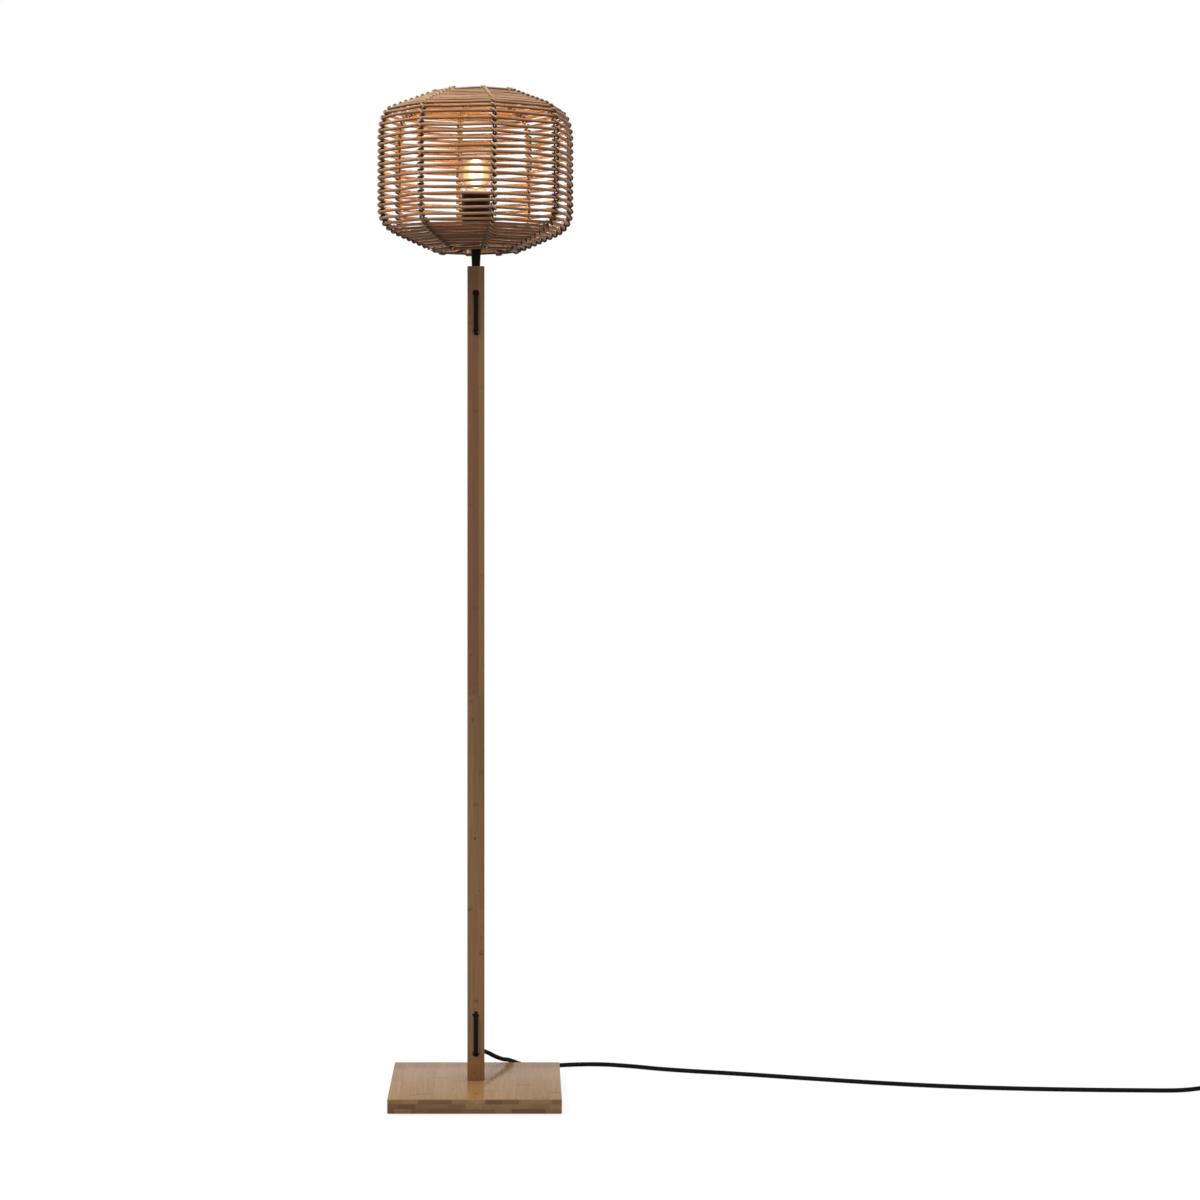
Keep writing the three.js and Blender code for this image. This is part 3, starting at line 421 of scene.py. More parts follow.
def coil_line(steps=48):
    """In along the lower layer, up in half a loop, and out again along the upper layer"""
    loops = 2 * layer_loops + climb_loops
    line = []
    for i in range(int(loops * steps) + 1):
        turn = i / steps
        climb = min(max((turn - layer_loops) / climb_loops, 0), 1)
        wound = min(turn, layer_loops, loops - turn)
        radius = coil_radius - coil_pitch * wound - climb_dip * math.sin(math.pi * climb)
        height = lowest_coil + coil_pitch * climb**2 * (3 - 2 * climb)
        angle = math.tau * turn
        line.append(coil_centre + Vector((radius * math.cos(angle), radius * math.sin(angle), height)))
    return line


switch_line = smooth_route(route_to_switch)
switch_cord = tube("cord_to_switch", switch_line, cord_width / 2)
fit(switch_cord, textile, "cord_run_to_switch")
plug_line = smooth_route(route_to_coil) + coil_line() + smooth_route(route_to_plug)
plug_cord = tube("cord_to_plug", plug_line, cord_width / 2)
fit(plug_cord, textile, "cord_run_to_coil", "cord_coil", "cord_run_to_plug")


# Base plate: three layers of bamboo strips glued into a square board with eased edges and a satin varnish.
# The strips of its top run from front to back, so their sawn ends show in its front edge, like small bricks.
def eased(shape, edges, width, steps):
    """Rounds off these edges of the shape"""
    bmesh.ops.bevel(
        shape, geom=edges, offset=width, segments=steps, profile=0.5, affect="EDGES", material=-1
    )


def block(low, high, ease=0.0, steps=3):
    """A block between two corners, with all its edges eased"""
    shape = bmesh.new()
    size = Vector(high) - Vector(low)
    place = Matrix.Translation((Vector(high) + Vector(low)) / 2)
    bmesh.ops.create_cube(shape, size=1, matrix=place @ Matrix.Diagonal((*size, 1)))
    if ease:
        eased(shape, shape.edges[:], ease, steps)
    return shape


def turned(profile, steps=48):
    """A shape from the lathe: a line of (radius, height) pairs, taken once round the upright axis"""
    shape = bmesh.new()
    ring = profile[0] == profile[-1]
    corners = [shape.verts.new((radius, 0, height)) for radius, height in profile[: -1 if ring else None]]
    edges = [shape.edges.new(pair) for pair in zip(corners, corners[1:] + corners[:1] * ring)]
    bmesh.ops.spin(
        shape,
        geom=corners + edges,
        cent=(0, 0, 0),
        axis=(0, 0, 1),
        angle=math.tau,
        steps=steps,
        use_merge=True,
    )
    bmesh.ops.remove_doubles(shape, verts=shape.verts, dist=1e-6)
    bmesh.ops.recalc_face_normals(shape, faces=shape.faces)
    return shape


def pierced(blank, *cutters):
    """The blank with each cutter's shape taken out of it"""
    for tool in cutters:
        cut = blank.modifiers.new("cut", "BOOLEAN")
        cut.operation = "DIFFERENCE"
        cut.solver = "EXACT"
        cut.object = tool
    graph = bpy.context.evaluated_depsgraph_get()
    mesh = bpy.data.meshes.new_from_object(blank.evaluated_get(graph), depsgraph=graph)
    name = blank.name
    for used in (blank, *cutters):
        bpy.data.objects.remove(used)
    mesh.set_sharp_from_angle(angle=math.radians(35))
    return new_object(name, mesh)


def cutter(profile, turn=Matrix.Identity(4), place=(0, 0, 0)):
    """A cutter from the lathe, turned about the origin and then moved to its place"""
    shape = turned(profile)
    put(shape, place, turn)
    return made("cutter", shape)


def drill(radius, bottom, top, turn=Matrix.Identity(4), place=(0, 0, 0), sink=0.0):
    """A plain round cutter, which widens by sink at both ends"""
    mouth = radius + 2 * sink
    profile = [
        (0, bottom - sink),
        (mouth, bottom - sink),
        (radius, bottom + sink),
        (radius, top - sink),
        (mouth, top + sink),
        (0, top + sink),
    ]
    return cutter(profile, turn, place)


class Bamboo(Finish):
    """Bamboo strips glued side by side under a satin varnish. Each strip has its own tint, fine dark fibres
    along it, and a faint node every so often."""

    def __init__(self, name, along, across, through, strip, length, light, dark):
        super().__init__(name, {"Specular IOR Level": 0.0, "Coat Weight": 0.45, "Coat Roughness": 0.17})
        at = dict(zip("xyz", self.axes(self.place())))
        run, side, deep = at[along], at[across], at[through]
        row = maths("FLOOR", side / strip + 0.5)
        luck = self.chance(row * 1.37 + 3.1)
        order = maths("FLOOR", (run + luck * length) / length)
        tint = self.chance(row * 5.3 + order * 2.71)

        def drawn_out(wide, long):
            return self.vector(side * wide, deep * wide, run * long)

        fibres = self.patches(drawn_out(700, 14), 0.42, 0.62, detail=3, roughness=0.6)
        streaks = self.patches(drawn_out(160, 4), 0.3, 0.7)
        uneven = self.patches(drawn_out(240, 160), 0.35, 0.65)
        specks = self.patches(drawn_out(200, 120), 0.83, 0.86, detail=0)
        node_pitch = 0.29
        node_core, node_edge = 0.0004, 0.002
        halo_core, halo_edge = 0.001, 0.007
        wobble_reach, row_shift, strip_shift = 0.006, 0.37, 0.05
        wobble = self.cloud(self.vector(side * 60, deep * 60, row), detail=1) * wobble_reach
        from_node = abs((run + wobble + luck * row_shift + tint * strip_shift) % node_pitch - node_pitch / 2)
        node = self.between(from_node, node_core, node_edge, 1, 0) * uneven
        halo = self.between(from_node, halo_core, halo_edge, 1, 0) * (uneven * 0.6 + 0.4)
        seam = self.between(abs((side / strip + 0.5) % 1 - 0.5), 0.488, 0.498)
        self.colour = self.stain_and_shade(
            self.mix(tint, light, dark),
            (streaks * 0.45, dark),
            (fibres * 0.4, self.mix(0.4, dark, "3b2512")),
            (halo * 0.3, "5e3c20"),
            (node * 0.5, "3f2612"),
            (seam * 0.3, "4a3019"),
            (specks * 0.7, "2e1c0e"),
        )
        self.surface({"Base Color": self.colour, "Roughness": fibres * 0.12 + streaks * 0.06 + 0.4})
        self.relief(fibres * 0.4 + node * 0.6 + seam, depth=0.00005)


class BambooEnds(Finish):
    """Sawn bamboo ends: rows of bricks in several tints, speckled with the cut bundles of fibre"""

    def __init__(self, name, strip, layer, bottom, light, dark):
        super().__init__(name, {"Specular IOR Level": 0.1, "Coat Weight": 0.3, "Coat Roughness": 0.2})
        side, _, z = self.axes(self.place())
        height = (z - bottom) / layer
        level = maths("FLOOR", height)
        shifted = side / strip + self.chance(level * 3.3 + 1.7)
        brick = maths("FLOOR", shifted)
        tint = self.chance(brick * 2.9 + level * 7.7)
        redness = self.chance(brick * 4.3 + level * 5.9)
        bundles = self.patches(self.vector(side, z, 0.4), 0.4, 0.65, scale=1100, roughness=0.6)
        gradual = self.patches(self.vector(side * 0.4, z, 0.9), 0.3, 0.7, scale=300)
        upright_seam = self.between(abs(shifted % 1 - 0.5), 0.485, 0.498)
        seam = maths("MAXIMUM", upright_seam, self.between(abs(height % 1 - 0.5), 0.46, 0.495))
        colour = self.stain_and_shade(
            self.mix(tint, light, dark),
            (self.between(redness, 0.55, 0.95) * 0.35, "6b4028"),
            (bundles * 0.28, "4a301b"),
            (gradual * 0.3, dark),
            (seam * 0.22, "3d2613"),
        )
        self.surface({"Base Color": colour, "Roughness": bundles * 0.15 + 0.5})
        self.relief(seam * 0.6 + bundles * 0.3, depth=0.00006)


plate_low, plate_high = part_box("base_plate")
washer_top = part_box("base_washer")[1].z
plate_layer = (plate_high.z - plate_low.z) / 3
plate_strip = 0.024
strip_length = 0.31
plate_ease = 0.0014
bolt_room_radius = 0.013
past = 0.002
plate_top = Bamboo("bamboo_base", "y", "x", "z", plate_strip, strip_length, "92714a", "85623d")
plate_sides = Bamboo("bamboo_base", "y", "z", "x", plate_layer, strip_length, "96734c", "7b5a38")
plate_ends = BambooEnds("bamboo_base", plate_strip, plate_layer, plate_low.z, "9c7a55", "704f36")
plate_blank = block(plate_low, plate_high, plate_ease)
for face in plate_blank.faces:
    if abs(face.normal.y) > 0.75:
        face.material_index = 1
    if abs(face.normal.x) > 0.75:
        face.material_index = 2
plate = made("bamboo_plate", plate_blank)
for plate_finish in (plate_top, plate_ends, plate_sides):
    plate.data.materials.append(plate_finish.material)
plate = pierced(plate, drill(bolt_room_radius, plate_low.z - past, washer_top))
fit(plate, plate_top, "base_plate")


# Felt pads, and the fastenings that nobody sees: a bolt with a washer from below into a brass insert in the
# pole, a steel pin that stops it turning, and a second insert in the pole's top.
felt = Finish("felt_pad", {"Roughness": 0.95, "Sheen Weight": 0.3})
fluff = felt.cloud(felt.place(), 2500, 3, 0.7)
felt.surface({"Base Color": felt.mix(fluff, "3d3833", "5d564e")})
felt.relief(fluff, depth=0.0003)
pad_ease = 0.0003
for i in range(1, 5):
    pad_low, pad_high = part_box(f"floor_pad_{i}")
    pad_middle = (pad_low + pad_high) / 2
    pad_radius = (pad_high.x - pad_low.x) / 2
    pad = turned([(0, pad_low.z), (pad_radius, pad_low.z), (pad_radius, pad_high.z), (0, pad_high.z)])
    eased(pad, [edge for edge in pad.edges if edge.calc_face_angle(0) > 1], pad_ease, 2)
    put(pad, (pad_middle.x, pad_middle.y, 0))
    fit(made(f"felt_pad_{i}", pad), felt, f"floor_pad_{i}")


class Mottled(Finish):
    """A plain finish in two close tints, mottled by a cloud that makes the second one rougher too"""

    def __init__(self, name, sockets, scale, first, second, roughness, rougher, detail=2):
        super().__init__(name, sockets)
        self.mottle = self.cloud(self.place(), scale, detail)
        colour = self.mix(self.mottle, first, second)
        self.surface({"Base Color": colour, "Roughness": self.mottle * rougher + roughness})


zinc = Finish("zinc_steel", {"Metallic": 1.0, "Base Color": "b9b9b6"})
zinc.surface({"Roughness": zinc.cloud(zinc.place(), 700) * 0.25 + 0.22})
brass = Mottled("brass_part", {"Metallic": 1.0}, 300, "c4a25c", "a07f42", 0.25, 0.2)
carry(zinc, "base_bolt", "base_washer", "locating_pin", "threaded_tube", "tube_nut")
carry(brass, "pole_insert_bottom", "pole_insert_top")


# Pole: three upright strips of bamboo glued into a square stick, planed, eased at its edges and varnished.
# Three holes for the cord are drilled right through it, each narrower in the middle. A fourth, near the top,
# is drilled from the front only, as far as the bore that comes down from above.
pole_low, pole_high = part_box("pole")
pole_width = pole_high.x - pole_low.x
pole_strip = pole_width / 3
pole_ease = 0.0009
hole_radius = 0.0047
hole_sink = 0.0005
throat_radius = 0.0037
throat_half = 0.0045
hole_from_end = 0.04
hole_spacing = 0.057
insert_radius = 0.0068
insert_depth = 0.02
insert_sink = 0.0004
bore_radius = 0.006
bore_below_hole = 0.005
joint_z = 0.59
joint_blur = 0.0003
seam_inset = 0.0006
seam_outset = 0.0002
# Painted shade under the lantern: the pole darkens upwards between these heights.
painted_shade_from, painted_shade_to = 0.36, 0.56
# The pole turns darker and redder towards its foot, below these heights.
foot_redder_from, foot_redder_to = 0.08, 0.015
bamboo_pole = Bamboo("bamboo_pole", "z", "x", "y", pole_strip, 0.631, "98724e", "805e3d")
pole_x, _, height = bamboo_pole.axes(bamboo_pole.place())
upper = bamboo_pole.between(height, joint_z - joint_blur, joint_z + joint_blur)
seam_x = pole_strip / 2
left_part = bamboo_pole.between(pole_x, seam_x - seam_inset, seam_x + seam_outset, 1, 0)
pole_colour = bamboo_pole.stain_and_shade(
    bamboo_pole.colour,
    (upper * left_part * 0.42, "6e321a"),
    (upper * (1 - left_part) * 0.3, "a88358"),
    (bamboo_pole.between(height, painted_shade_from, painted_shade_to) * 0.42, "5f4429"),
    (bamboo_pole.between(height, foot_redder_from, foot_redder_to) * 0.4, "6a3c24"),
)
bamboo_pole.surface({"Base Color": pole_colour})
pole = made("bamboo_pole", block(pole_low, pole_high, pole_ease))
along_y = Matrix.Rotation(math.radians(-90), 4, "X")
hole_z = [
    pole_high.z - hole_from_end,
    pole_high.z - hole_from_end - hole_spacing,
    pole_low.z + hole_from_end + hole_spacing,
    pole_low.z + hole_from_end,
]
hole_mouth = hole_radius + 2 * hole_sink
front_mouth = [
    (0, pole_low.y - hole_sink),
    (hole_mouth, pole_low.y - hole_sink),
    (hole_radius, pole_low.y + hole_sink),
]
cross_hole = [
    *front_mouth,
    (hole_radius, -throat_half),
    (throat_radius, -throat_half),
    (throat_radius, throat_half),
    (hole_radius, throat_half),
    (hole_radius, pole_high.y - hole_sink),
    (hole_mouth, pole_high.y + hole_sink),
    (0, pole_high.y + hole_sink),
]
bore = [
    (0, hole_z[0] - bore_below_hole),
    (bore_radius, hole_z[0] - bore_below_hole),
    (bore_radius, pole_high.z - insert_depth),
    (insert_radius, pole_high.z - insert_depth),
    (insert_radius, pole_high.z - insert_sink),
    (insert_radius + 2 * insert_sink, pole_high.z + insert_sink),
    (0, pole_high.z + insert_sink),
]
pole_holes = [cutter(cross_hole, along_y, (0, 0, z)) for z in hole_z[1:]]
pole_holes.append(cutter([*front_mouth, (hole_radius, 0), (0, 0)], along_y, (0, 0, hole_z[0])))
pole_holes.append(cutter(bore))
pole = pierced(pole, *pole_holes)
fit(pole, bamboo_pole, "pole")


# Sleeve: a tapered steel tube, lacquered black, which lifts the holder off the pole. The threaded tube runs
# through it, and the nut in the holder's cap clamps it onto the pole.
black_steel = Mottled("black_steel", {"Specular IOR Level": 0.06}, 400, "060502", "0d0a05", 0.36, 0.2)
sleeve_low, sleeve_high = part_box("stem_sleeve")
sleeve_top_radius = (sleeve_high.x - sleeve_low.x) / 2
sleeve_foot_radius = 0.0062
sleeve_bore = 0.0053
sleeve_ease = 0.0005
sleeve = turned(
    [
        (sleeve_bore, sleeve_low.z),
        (sleeve_foot_radius - sleeve_ease, sleeve_low.z),
        (sleeve_foot_radius, sleeve_low.z + sleeve_ease),
        (sleeve_top_radius, sleeve_high.z - sleeve_ease),
        (sleeve_top_radius - sleeve_ease, sleeve_high.z),
        (sleeve_bore, sleeve_high.z),
        (sleeve_bore, sleeve_low.z),
    ]
)
fit(made("black_sleeve", sleeve), black_steel, "stem_sleeve")


# Plan and profile of the lantern. From above it has eight sides that bow out a little, with a rib at each
# corner. From the side it goes out over a slope, down a straight side and in again, with round corners.
rim_radius = 0.0615
belly_radius = 0.1425
upper_drop = 0.031
lower_rise = 0.035
shoulder_slope_run = 0.018
shoulder_side_run = 0.04
hip_slope_run = 0.027
hip_side_run = 0.025
rib_count = 8
sector = math.tau / rib_count
first_rib = math.radians(11.3)
plan_bow = 0.4
rim_low, rim_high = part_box("shade_rim_bottom")
rim_width = rim_high.z - rim_low.z
lower_rim_z = (rim_low.z + rim_high.z) / 2
rim_low, rim_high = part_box("shade_rim_top")
upper_rim_z = (rim_low.z + rim_high.z) / 2
middle_of_lantern = (0, 0, (upper_rim_z + lower_rim_z) / 2)


def plan_share(angle):
    """How far out the plan lies at an angle, as a share of how far out its corners lie"""
    octagon = math.cos(sector / 2) / math.cos((angle - first_rib) % sector - sector / 2)
    return plan_bow + (1 - plan_bow) * octagon


def around(angle, radius, height):
    """A point at an angle from the front, turning towards +X"""
    return Vector((radius * math.sin(angle), -radius * math.cos(angle), height))


def rounded(start, corner, end, steps=16):
    """The points of a round corner, with the corner's own point pulling at its middle"""
    shares = [i / steps for i in range(steps + 1)]
    return [start * (1 - t) ** 2 + corner * 2 * t * (1 - t) + end * t**2 for t in shares]


top_point = Vector((rim_radius, upper_rim_z))
shoulder = Vector((belly_radius, upper_rim_z - upper_drop))
hip = Vector((belly_radius, lower_rim_z + lower_rise))
foot_point = Vector((rim_radius, lower_rim_z))
straight_down = Vector((0, -1))
inwards = (top_point - shoulder).normalized()
homewards = (foot_point - hip).normalized()
upper_start = shoulder + inwards * shoulder_slope_run
upper_corner = rounded(upper_start, shoulder, shoulder + straight_down * shoulder_side_run)
lower_corner = rounded(hip - straight_down * hip_side_run, hip, hip + homewards * hip_slope_run)
side_profile = [top_point, *upper_corner, *lower_corner, foot_point]
side_runs = [0.0]
for start, end in zip(side_profile, side_profile[1:]):
    side_runs.append(side_runs[-1] + (end - start).length)
profile_length = side_runs[-1]
upper_slope = (shoulder - top_point).length
lower_slope = (foot_point - hip).length


def profile_at(run, out=0.0):
    """The profile's point at that run from the top rim, moved outwards by out"""
    i = 0
    while i < len(side_runs) - 2 and side_runs[i + 1] < run:
        i += 1
    start, end = side_profile[i], side_profile[i + 1]
    along = (end - start).normalized()
    return start + along * (run - side_runs[i]) + Vector((-along.y, along.x)) * out


# Rims: a ring of thick rattan at the top of the lantern and another at the bottom, steamed and bent to the
# plan. The ends of the ribs are bound to them.
class Rattan(Finish):
    """Peeled rattan: long pale and brown streaks, a darker node here and there, and a dull shine. What faces
    up is painted paler, lit from above. Painted shade darkens it between rows, on the side that faces
    down the slope, in the folds of a lashing and on the side of a rib behind the canes, and it grows darker
    towards the foot of the lantern."""

    def __init__(self, name, light, middle, dark, painted_crease_shade=0.0, painted_covered_shade=0.0):
        super().__init__(name, {"Specular IOR Level": 0.35, "Coat Weight": 0.06, "Coat Roughness": 0.35})
        run, turn = self.axes(self.place("UV"))[:2]
        angle = turn * math.tau
        round_x, round_y = maths("COSINE", angle), maths("SINE", angle)

        def drawn_out(wide, long):
            return self.vector(run * long, round_x * wide, round_y * wide)

        patches = self.patches(self.vector(run * 9, self.axes(self.place())[2] * 40), 0.32, 0.68)
        streaks = self.patches(drawn_out(1.6, 26), 0.3, 0.7, detail=3)
        fine = self.patches(drawn_out(7, 150), 0.3, 0.7, detail=3, roughness=0.65)
        flecks = self.patches(drawn_out(3, 420), 0.68, 0.74, detail=1)
        node_pitch = 0.19
        node_core, node_edge = 0.0005, 0.003
        cell = maths("FLOOR", run / node_pitch)
        from_node = abs(run - (cell + self.chance(cell + 0.5) * 0.8 + 0.1) * node_pitch)
        node = self.between(from_node, node_core, node_edge, 1, 0)
        node = node * self.between(self.chance(cell + 9.5), 0.3, 0.4)
        faces = self.place("Normal")
        outwards = self.along("NORMALIZE", self.along("SUBTRACT", self.place(), middle_of_lantern))
        shows = self.along("DOT_PRODUCT", outwards, faces, out=1)
        upright = self.axes(faces)[2]
        lean = self.axes(outwards)[2]
        # How far a face turns down the slope, for the painted shade on each cane's lower flank.
        downhill = (lean * shows - upright) / maths("SQRT", 1 - lean * lean)
        outer = self.between(shows, -0.4, 0.1)
        # Painted shade: lower on the lantern, and between the rows of canes.
        low = self.between(lean, -0.25, -0.7)
        painted_foot_shade = low * 0.08 + self.between(lean, 0.35, -0.35) * 0.16
        painted_row_shade = self.between(shows - low * 0.15, 0.65, 0.2) * outer * self.between(upright, 0.75, 0.3)
        colour = self.stain_and_shade(
            self.mix(patches, light, middle),
            (streaks * 0.55, dark),
            (fine * 0.35, dark),
            (node * 0.3, "2e1b0e"),
            (flecks * 0.25, "3b2412"),
            # Painted light from above: what faces up is paler.
            (self.between(upright, 0.2, 0.9) * 0.3, "d8bfa2"),
            # Painted shade: the downhill flank, then between rows and lower down.
            (self.between(downhill, 0.25, 0.9) * outer * 0.55, "3a1c0b"),
            (painted_row_shade * 0.9 + painted_foot_shade * outer, "301608"),
            # Painted shade in a lashing's folds and on a rib's side behind the canes.
            (self.between(abs(shows), 0.6, 0.1) * painted_crease_shade, "2c180b"),
            (self.between(shows, -0.7, 0.0) * painted_covered_shade, "2c180b"),
        )
        self.surface({"Base Color": colour, "Roughness": fine * 0.15 + streaks * 0.1 + 0.42})
        self.relief(fine * 0.6 + node, depth=0.00015)


def wander(seed, place):
    """A slow uneven change, from about -1 to 1"""
    return 2 * noise.noise(Vector((place, seed * 7.3, 0.5)))


rattan_rim = Rattan("rattan_rim", "b58d64", "98704a", "6b4a2d")
rim_steps = 128
rim_squeeze = 0.97
rim_waver = 0.0003
rim_ripple = 0.0002
for name, node, height in (
    ("rattan_ring_top", "shade_rim_top", upper_rim_z),
    ("rattan_ring_bottom", "shade_rim_bottom", lower_rim_z),
):
    ring = []
    for i in range(rim_steps):
        angle = first_rib + math.tau * i / rim_steps
        uneven = rim_waver * math.sin(3 * angle) + rim_ripple * math.sin(7 * angle + height)
        ring.append(around(angle, rim_radius * plan_share(angle) + uneven, height + uneven))
    fit(tube(name, ring, rim_width / 2 * rim_squeeze, 4, True), rattan_rim, node)


# Canes: long thin canes wound round and round the ribs, in three runs: over the upper slope, down the side
# and in over the lower slope. They are a little uneven, and the bulb's light shows between them.
cane_width = 0.0047
lower_cane_width = 0.0044
cane_waver = 0.0007
cane_sag = 0.0011
cane_bulge = 0.0004
cane_steps = 112
from_rim = 0.0088
below_shoulder = 0.01
above_hip = 0.006
upper_loops = 10
side_loops = 14
lower_loops = 10
upper_stop = upper_slope + below_shoulder
lower_stop = profile_length - lower_slope - above_hip
cane_runs = {
    "canes_top": (from_rim, upper_stop, upper_loops, 0),
    "canes_side": (upper_stop, lower_stop, side_loops, upper_loops),
    "canes_bottom": (lower_stop, profile_length - from_rim, lower_loops, upper_loops + side_loops),
}
winding_start = first_rib + sector / 2 + math.pi


def cane_place(turn, first, last, loops, first_turn):
    """Where the middle of the cane is after that many turns of its winding"""
    loop = first_turn + turn
    angle = winding_start + math.tau * loop
    free = math.sin(math.pi * (((angle - first_rib) / sector) % 1)) ** 2
    ends = min(turn, loops - turn, 1)
    sag = cane_sag * wander(3, loop * 5) * free * ends
    run = first + (last - first) * turn / loops + cane_waver * wander(1, loop * 0.83) * ends + sag
    at = profile_at(run, cane_bulge * wander(2, loop * 3.1) * free)
    return angle, run, around(angle, at.x * plan_share(angle), at.y)


rattan_cane = Rattan("rattan_cane", "c5986e", "a1744c", "693f26")
for name, (first, last, loops, first_turn) in cane_runs.items():
    width = lower_cane_width if name == "canes_bottom" else cane_width
    line, radii = [], []
    for i in range(loops * cane_steps + 1):
        turn = i / cane_steps
        line.append(cane_place(turn, first, last, loops, first_turn)[2])
        radii.append(width / 2 * (0.97 + 0.07 * wander(4, (first_turn + turn) * 0.9)))
    fit(tube("rattan_" + name, line, radii, 3), rattan_cane, name)


# Ribs and lashing: eight thin canes stand inside the windings, one at each corner. A strip of split cane
# winds down each of them and goes once round the rib and the cane in every row, and both ends wrap the rims.
rib_width = 0.0028
strip_width = 0.0034
gap = 0.0003
rib_depth = cane_width / 2 + gap + rib_width / 2
# The rib takes painted shade on its side behind the canes, the strip in its folds.
rattan_rib = Rattan("rattan_rib", "c28a56", "9d6a40", "6a4326", painted_covered_shade=0.85)
rattan_strip = Rattan("rattan_rib", "e0bd94", "bf9469", "7e5636", painted_crease_shade=0.85)


def rows_at(angle):
    """The runs at which the windings pass a rib, from the top down"""
    runs = []
    for first, last, loops, first_turn in cane_runs.values():
        turn = ((angle - winding_start) / math.tau) % 1
        while turn <= loops:
            runs.append(cane_place(turn, first, last, loops, first_turn)[1])
            turn += 1
    return runs


def lashing(angle, rows, steps=18):
    """One turn of the strip for each row, from upper left to lower right in front and back behind the rib"""
    sideways = Vector((math.cos(angle), math.sin(angle), 0))
    front = cane_width / 2 + strip_width * 0.28
    back = rib_depth + rib_width / 2 + strip_width / 2
    middle, reach = (front - back) / 2, (front + back) / 2
    half_width = rib_width / 2 + strip_width * 0.55
    slant = 0.155
    line = []
    for above, below in zip(rows, rows[1:]):
        for k in range(steps):
            share = k / steps
            turn = math.tau * share
            run = above + (below - above) * (share + slant * math.sin(turn))
            at = profile_at(run, middle + reach * math.cos(turn))
            line.append(around(angle, at.x, at.y) + sideways * half_width * math.sin(turn))
    return line


rattan_binding = Rattan("rattan_rim", "ead2b2", "cfab82", "93704e")
binding_width = 0.0022
binding_turns = 4
loose_end = 0.004


def rim_binding(angle, height, seed, steps=12):
    """The strip's end: a few uneven turns round the rim beside the rib, and a short loose tip"""
    reach = (rim_width + binding_width) / 2
    line = []
    for k in range(binding_turns * steps + 1):
        turn = math.tau * k / steps
        slant = (k / steps - binding_turns / 2) * binding_width * (1.1 + 0.3 * wander(seed, k * 0.02))
        at = angle + slant / rim_radius
        out = rim_radius * plan_share(at) + reach * math.cos(turn)
        line.append(around(at, out, height + reach * math.sin(turn)))
    tip = line[-1] + around(at, 0.9, -0.4 + wander(seed, 0.3)).normalized() * loose_end
    return line + [line[-1].lerp(tip, 0.5), tip]


rib_steps = 60
for i in range(rib_count):
    angle = first_rib + i * sector
    rows = rows_at(angle)
    stem = [profile_at(profile_length * k / rib_steps, -rib_depth) for k in range(rib_steps + 1)]
    rib = tube(f"rib_{i + 1}", [around(angle, at.x, at.y) for at in stem], rib_width / 2, 3)
    fit(rib, rattan_rib, f"shade_rib_{i + 1}")
    top_end, foot_end = max(rows[0] - from_rim, 0), min(rows[-1] + from_rim, profile_length)
    strip = tube(f"lashing_{i + 1}", lashing(angle, [top_end, *rows, foot_end]), strip_width / 2, 2)
    fit(strip, rattan_strip)
    for rim_name, rim_z in (("top", upper_rim_z), ("bottom", lower_rim_z)):
        binding = tube(f"binding_{rim_name}_{i + 1}", rim_binding(angle, rim_z, i), binding_width / 2, 2)
        fit(binding, rattan_binding)


# Spider: a steel washer clamped under the lamp holder, with four spokes welded on that carry the lower rim.
# It is lacquered black like the sleeve, and a strip of split cane is wound round each spoke.
spider_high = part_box("shade_spider")[1]
washer_radius = 0.015
washer_thickness = 0.002
spoke_width = 0.0035
spoke_count = 4
spoke_wraps = 20
wrap_width = 0.0016
wrap_steps = 8
spoke_turn = first_rib + sector / 2
spoke_end = rim_radius * plan_share(spoke_turn) - rim_width / 2
spoke_z = spider_high.z - washer_thickness / 2
spider = turned(
    [
        (sleeve_bore, sleeve_high.z),
        (washer_radius - sleeve_ease, sleeve_high.z),
        (washer_radius, sleeve_high.z + sleeve_ease),
        (washer_radius, spider_high.z - sleeve_ease),
        (washer_radius - sleeve_ease, spider_high.z),
        (sleeve_bore, spider_high.z),
        (sleeve_bore, sleeve_high.z),
    ]
)
for i in range(spoke_count):
    angle = spoke_turn + math.tau * i / spoke_count
    spoke_bend = [
        around(angle, washer_radius - spoke_width / 2, spoke_z),
        around(angle, washer_radius + spoke_width, spoke_z),
        around(angle, spoke_end - 2 * spoke_width, lower_rim_z),
        around(angle, spoke_end, lower_rim_z),
    ]
    spoke = tube("spoke", smooth_route(spoke_bend, 5), spoke_width / 2, 3)
    spider.from_mesh(spoke.data)
    bpy.data.objects.remove(spoke)
    wound = [at for at in smooth_route(spoke_bend, 24) if at.xy.length > washer_radius + spoke_width]
    level = Vector((math.cos(angle), math.sin(angle), 0))
    reach = spoke_width / 2 + wrap_width / 2
    wrap = []
    for k in range(spoke_wraps * wrap_steps + 1):
        share = k / (spoke_wraps * wrap_steps) * (len(wound) - 1)
        at = wound[int(share)].lerp(wound[min(int(share) + 1, len(wound) - 1)], share % 1)
        turn = math.tau * k / wrap_steps
        wrap.append(at + reach * (level * math.sin(turn) + Vector((0, 0, math.cos(turn)))))
    fit(tube(f"spoke_wrap_{i + 1}", wrap, wrap_width / 2, 2), rattan_strip)
fit(made("black_spider", spider), black_steel, "shade_spider")


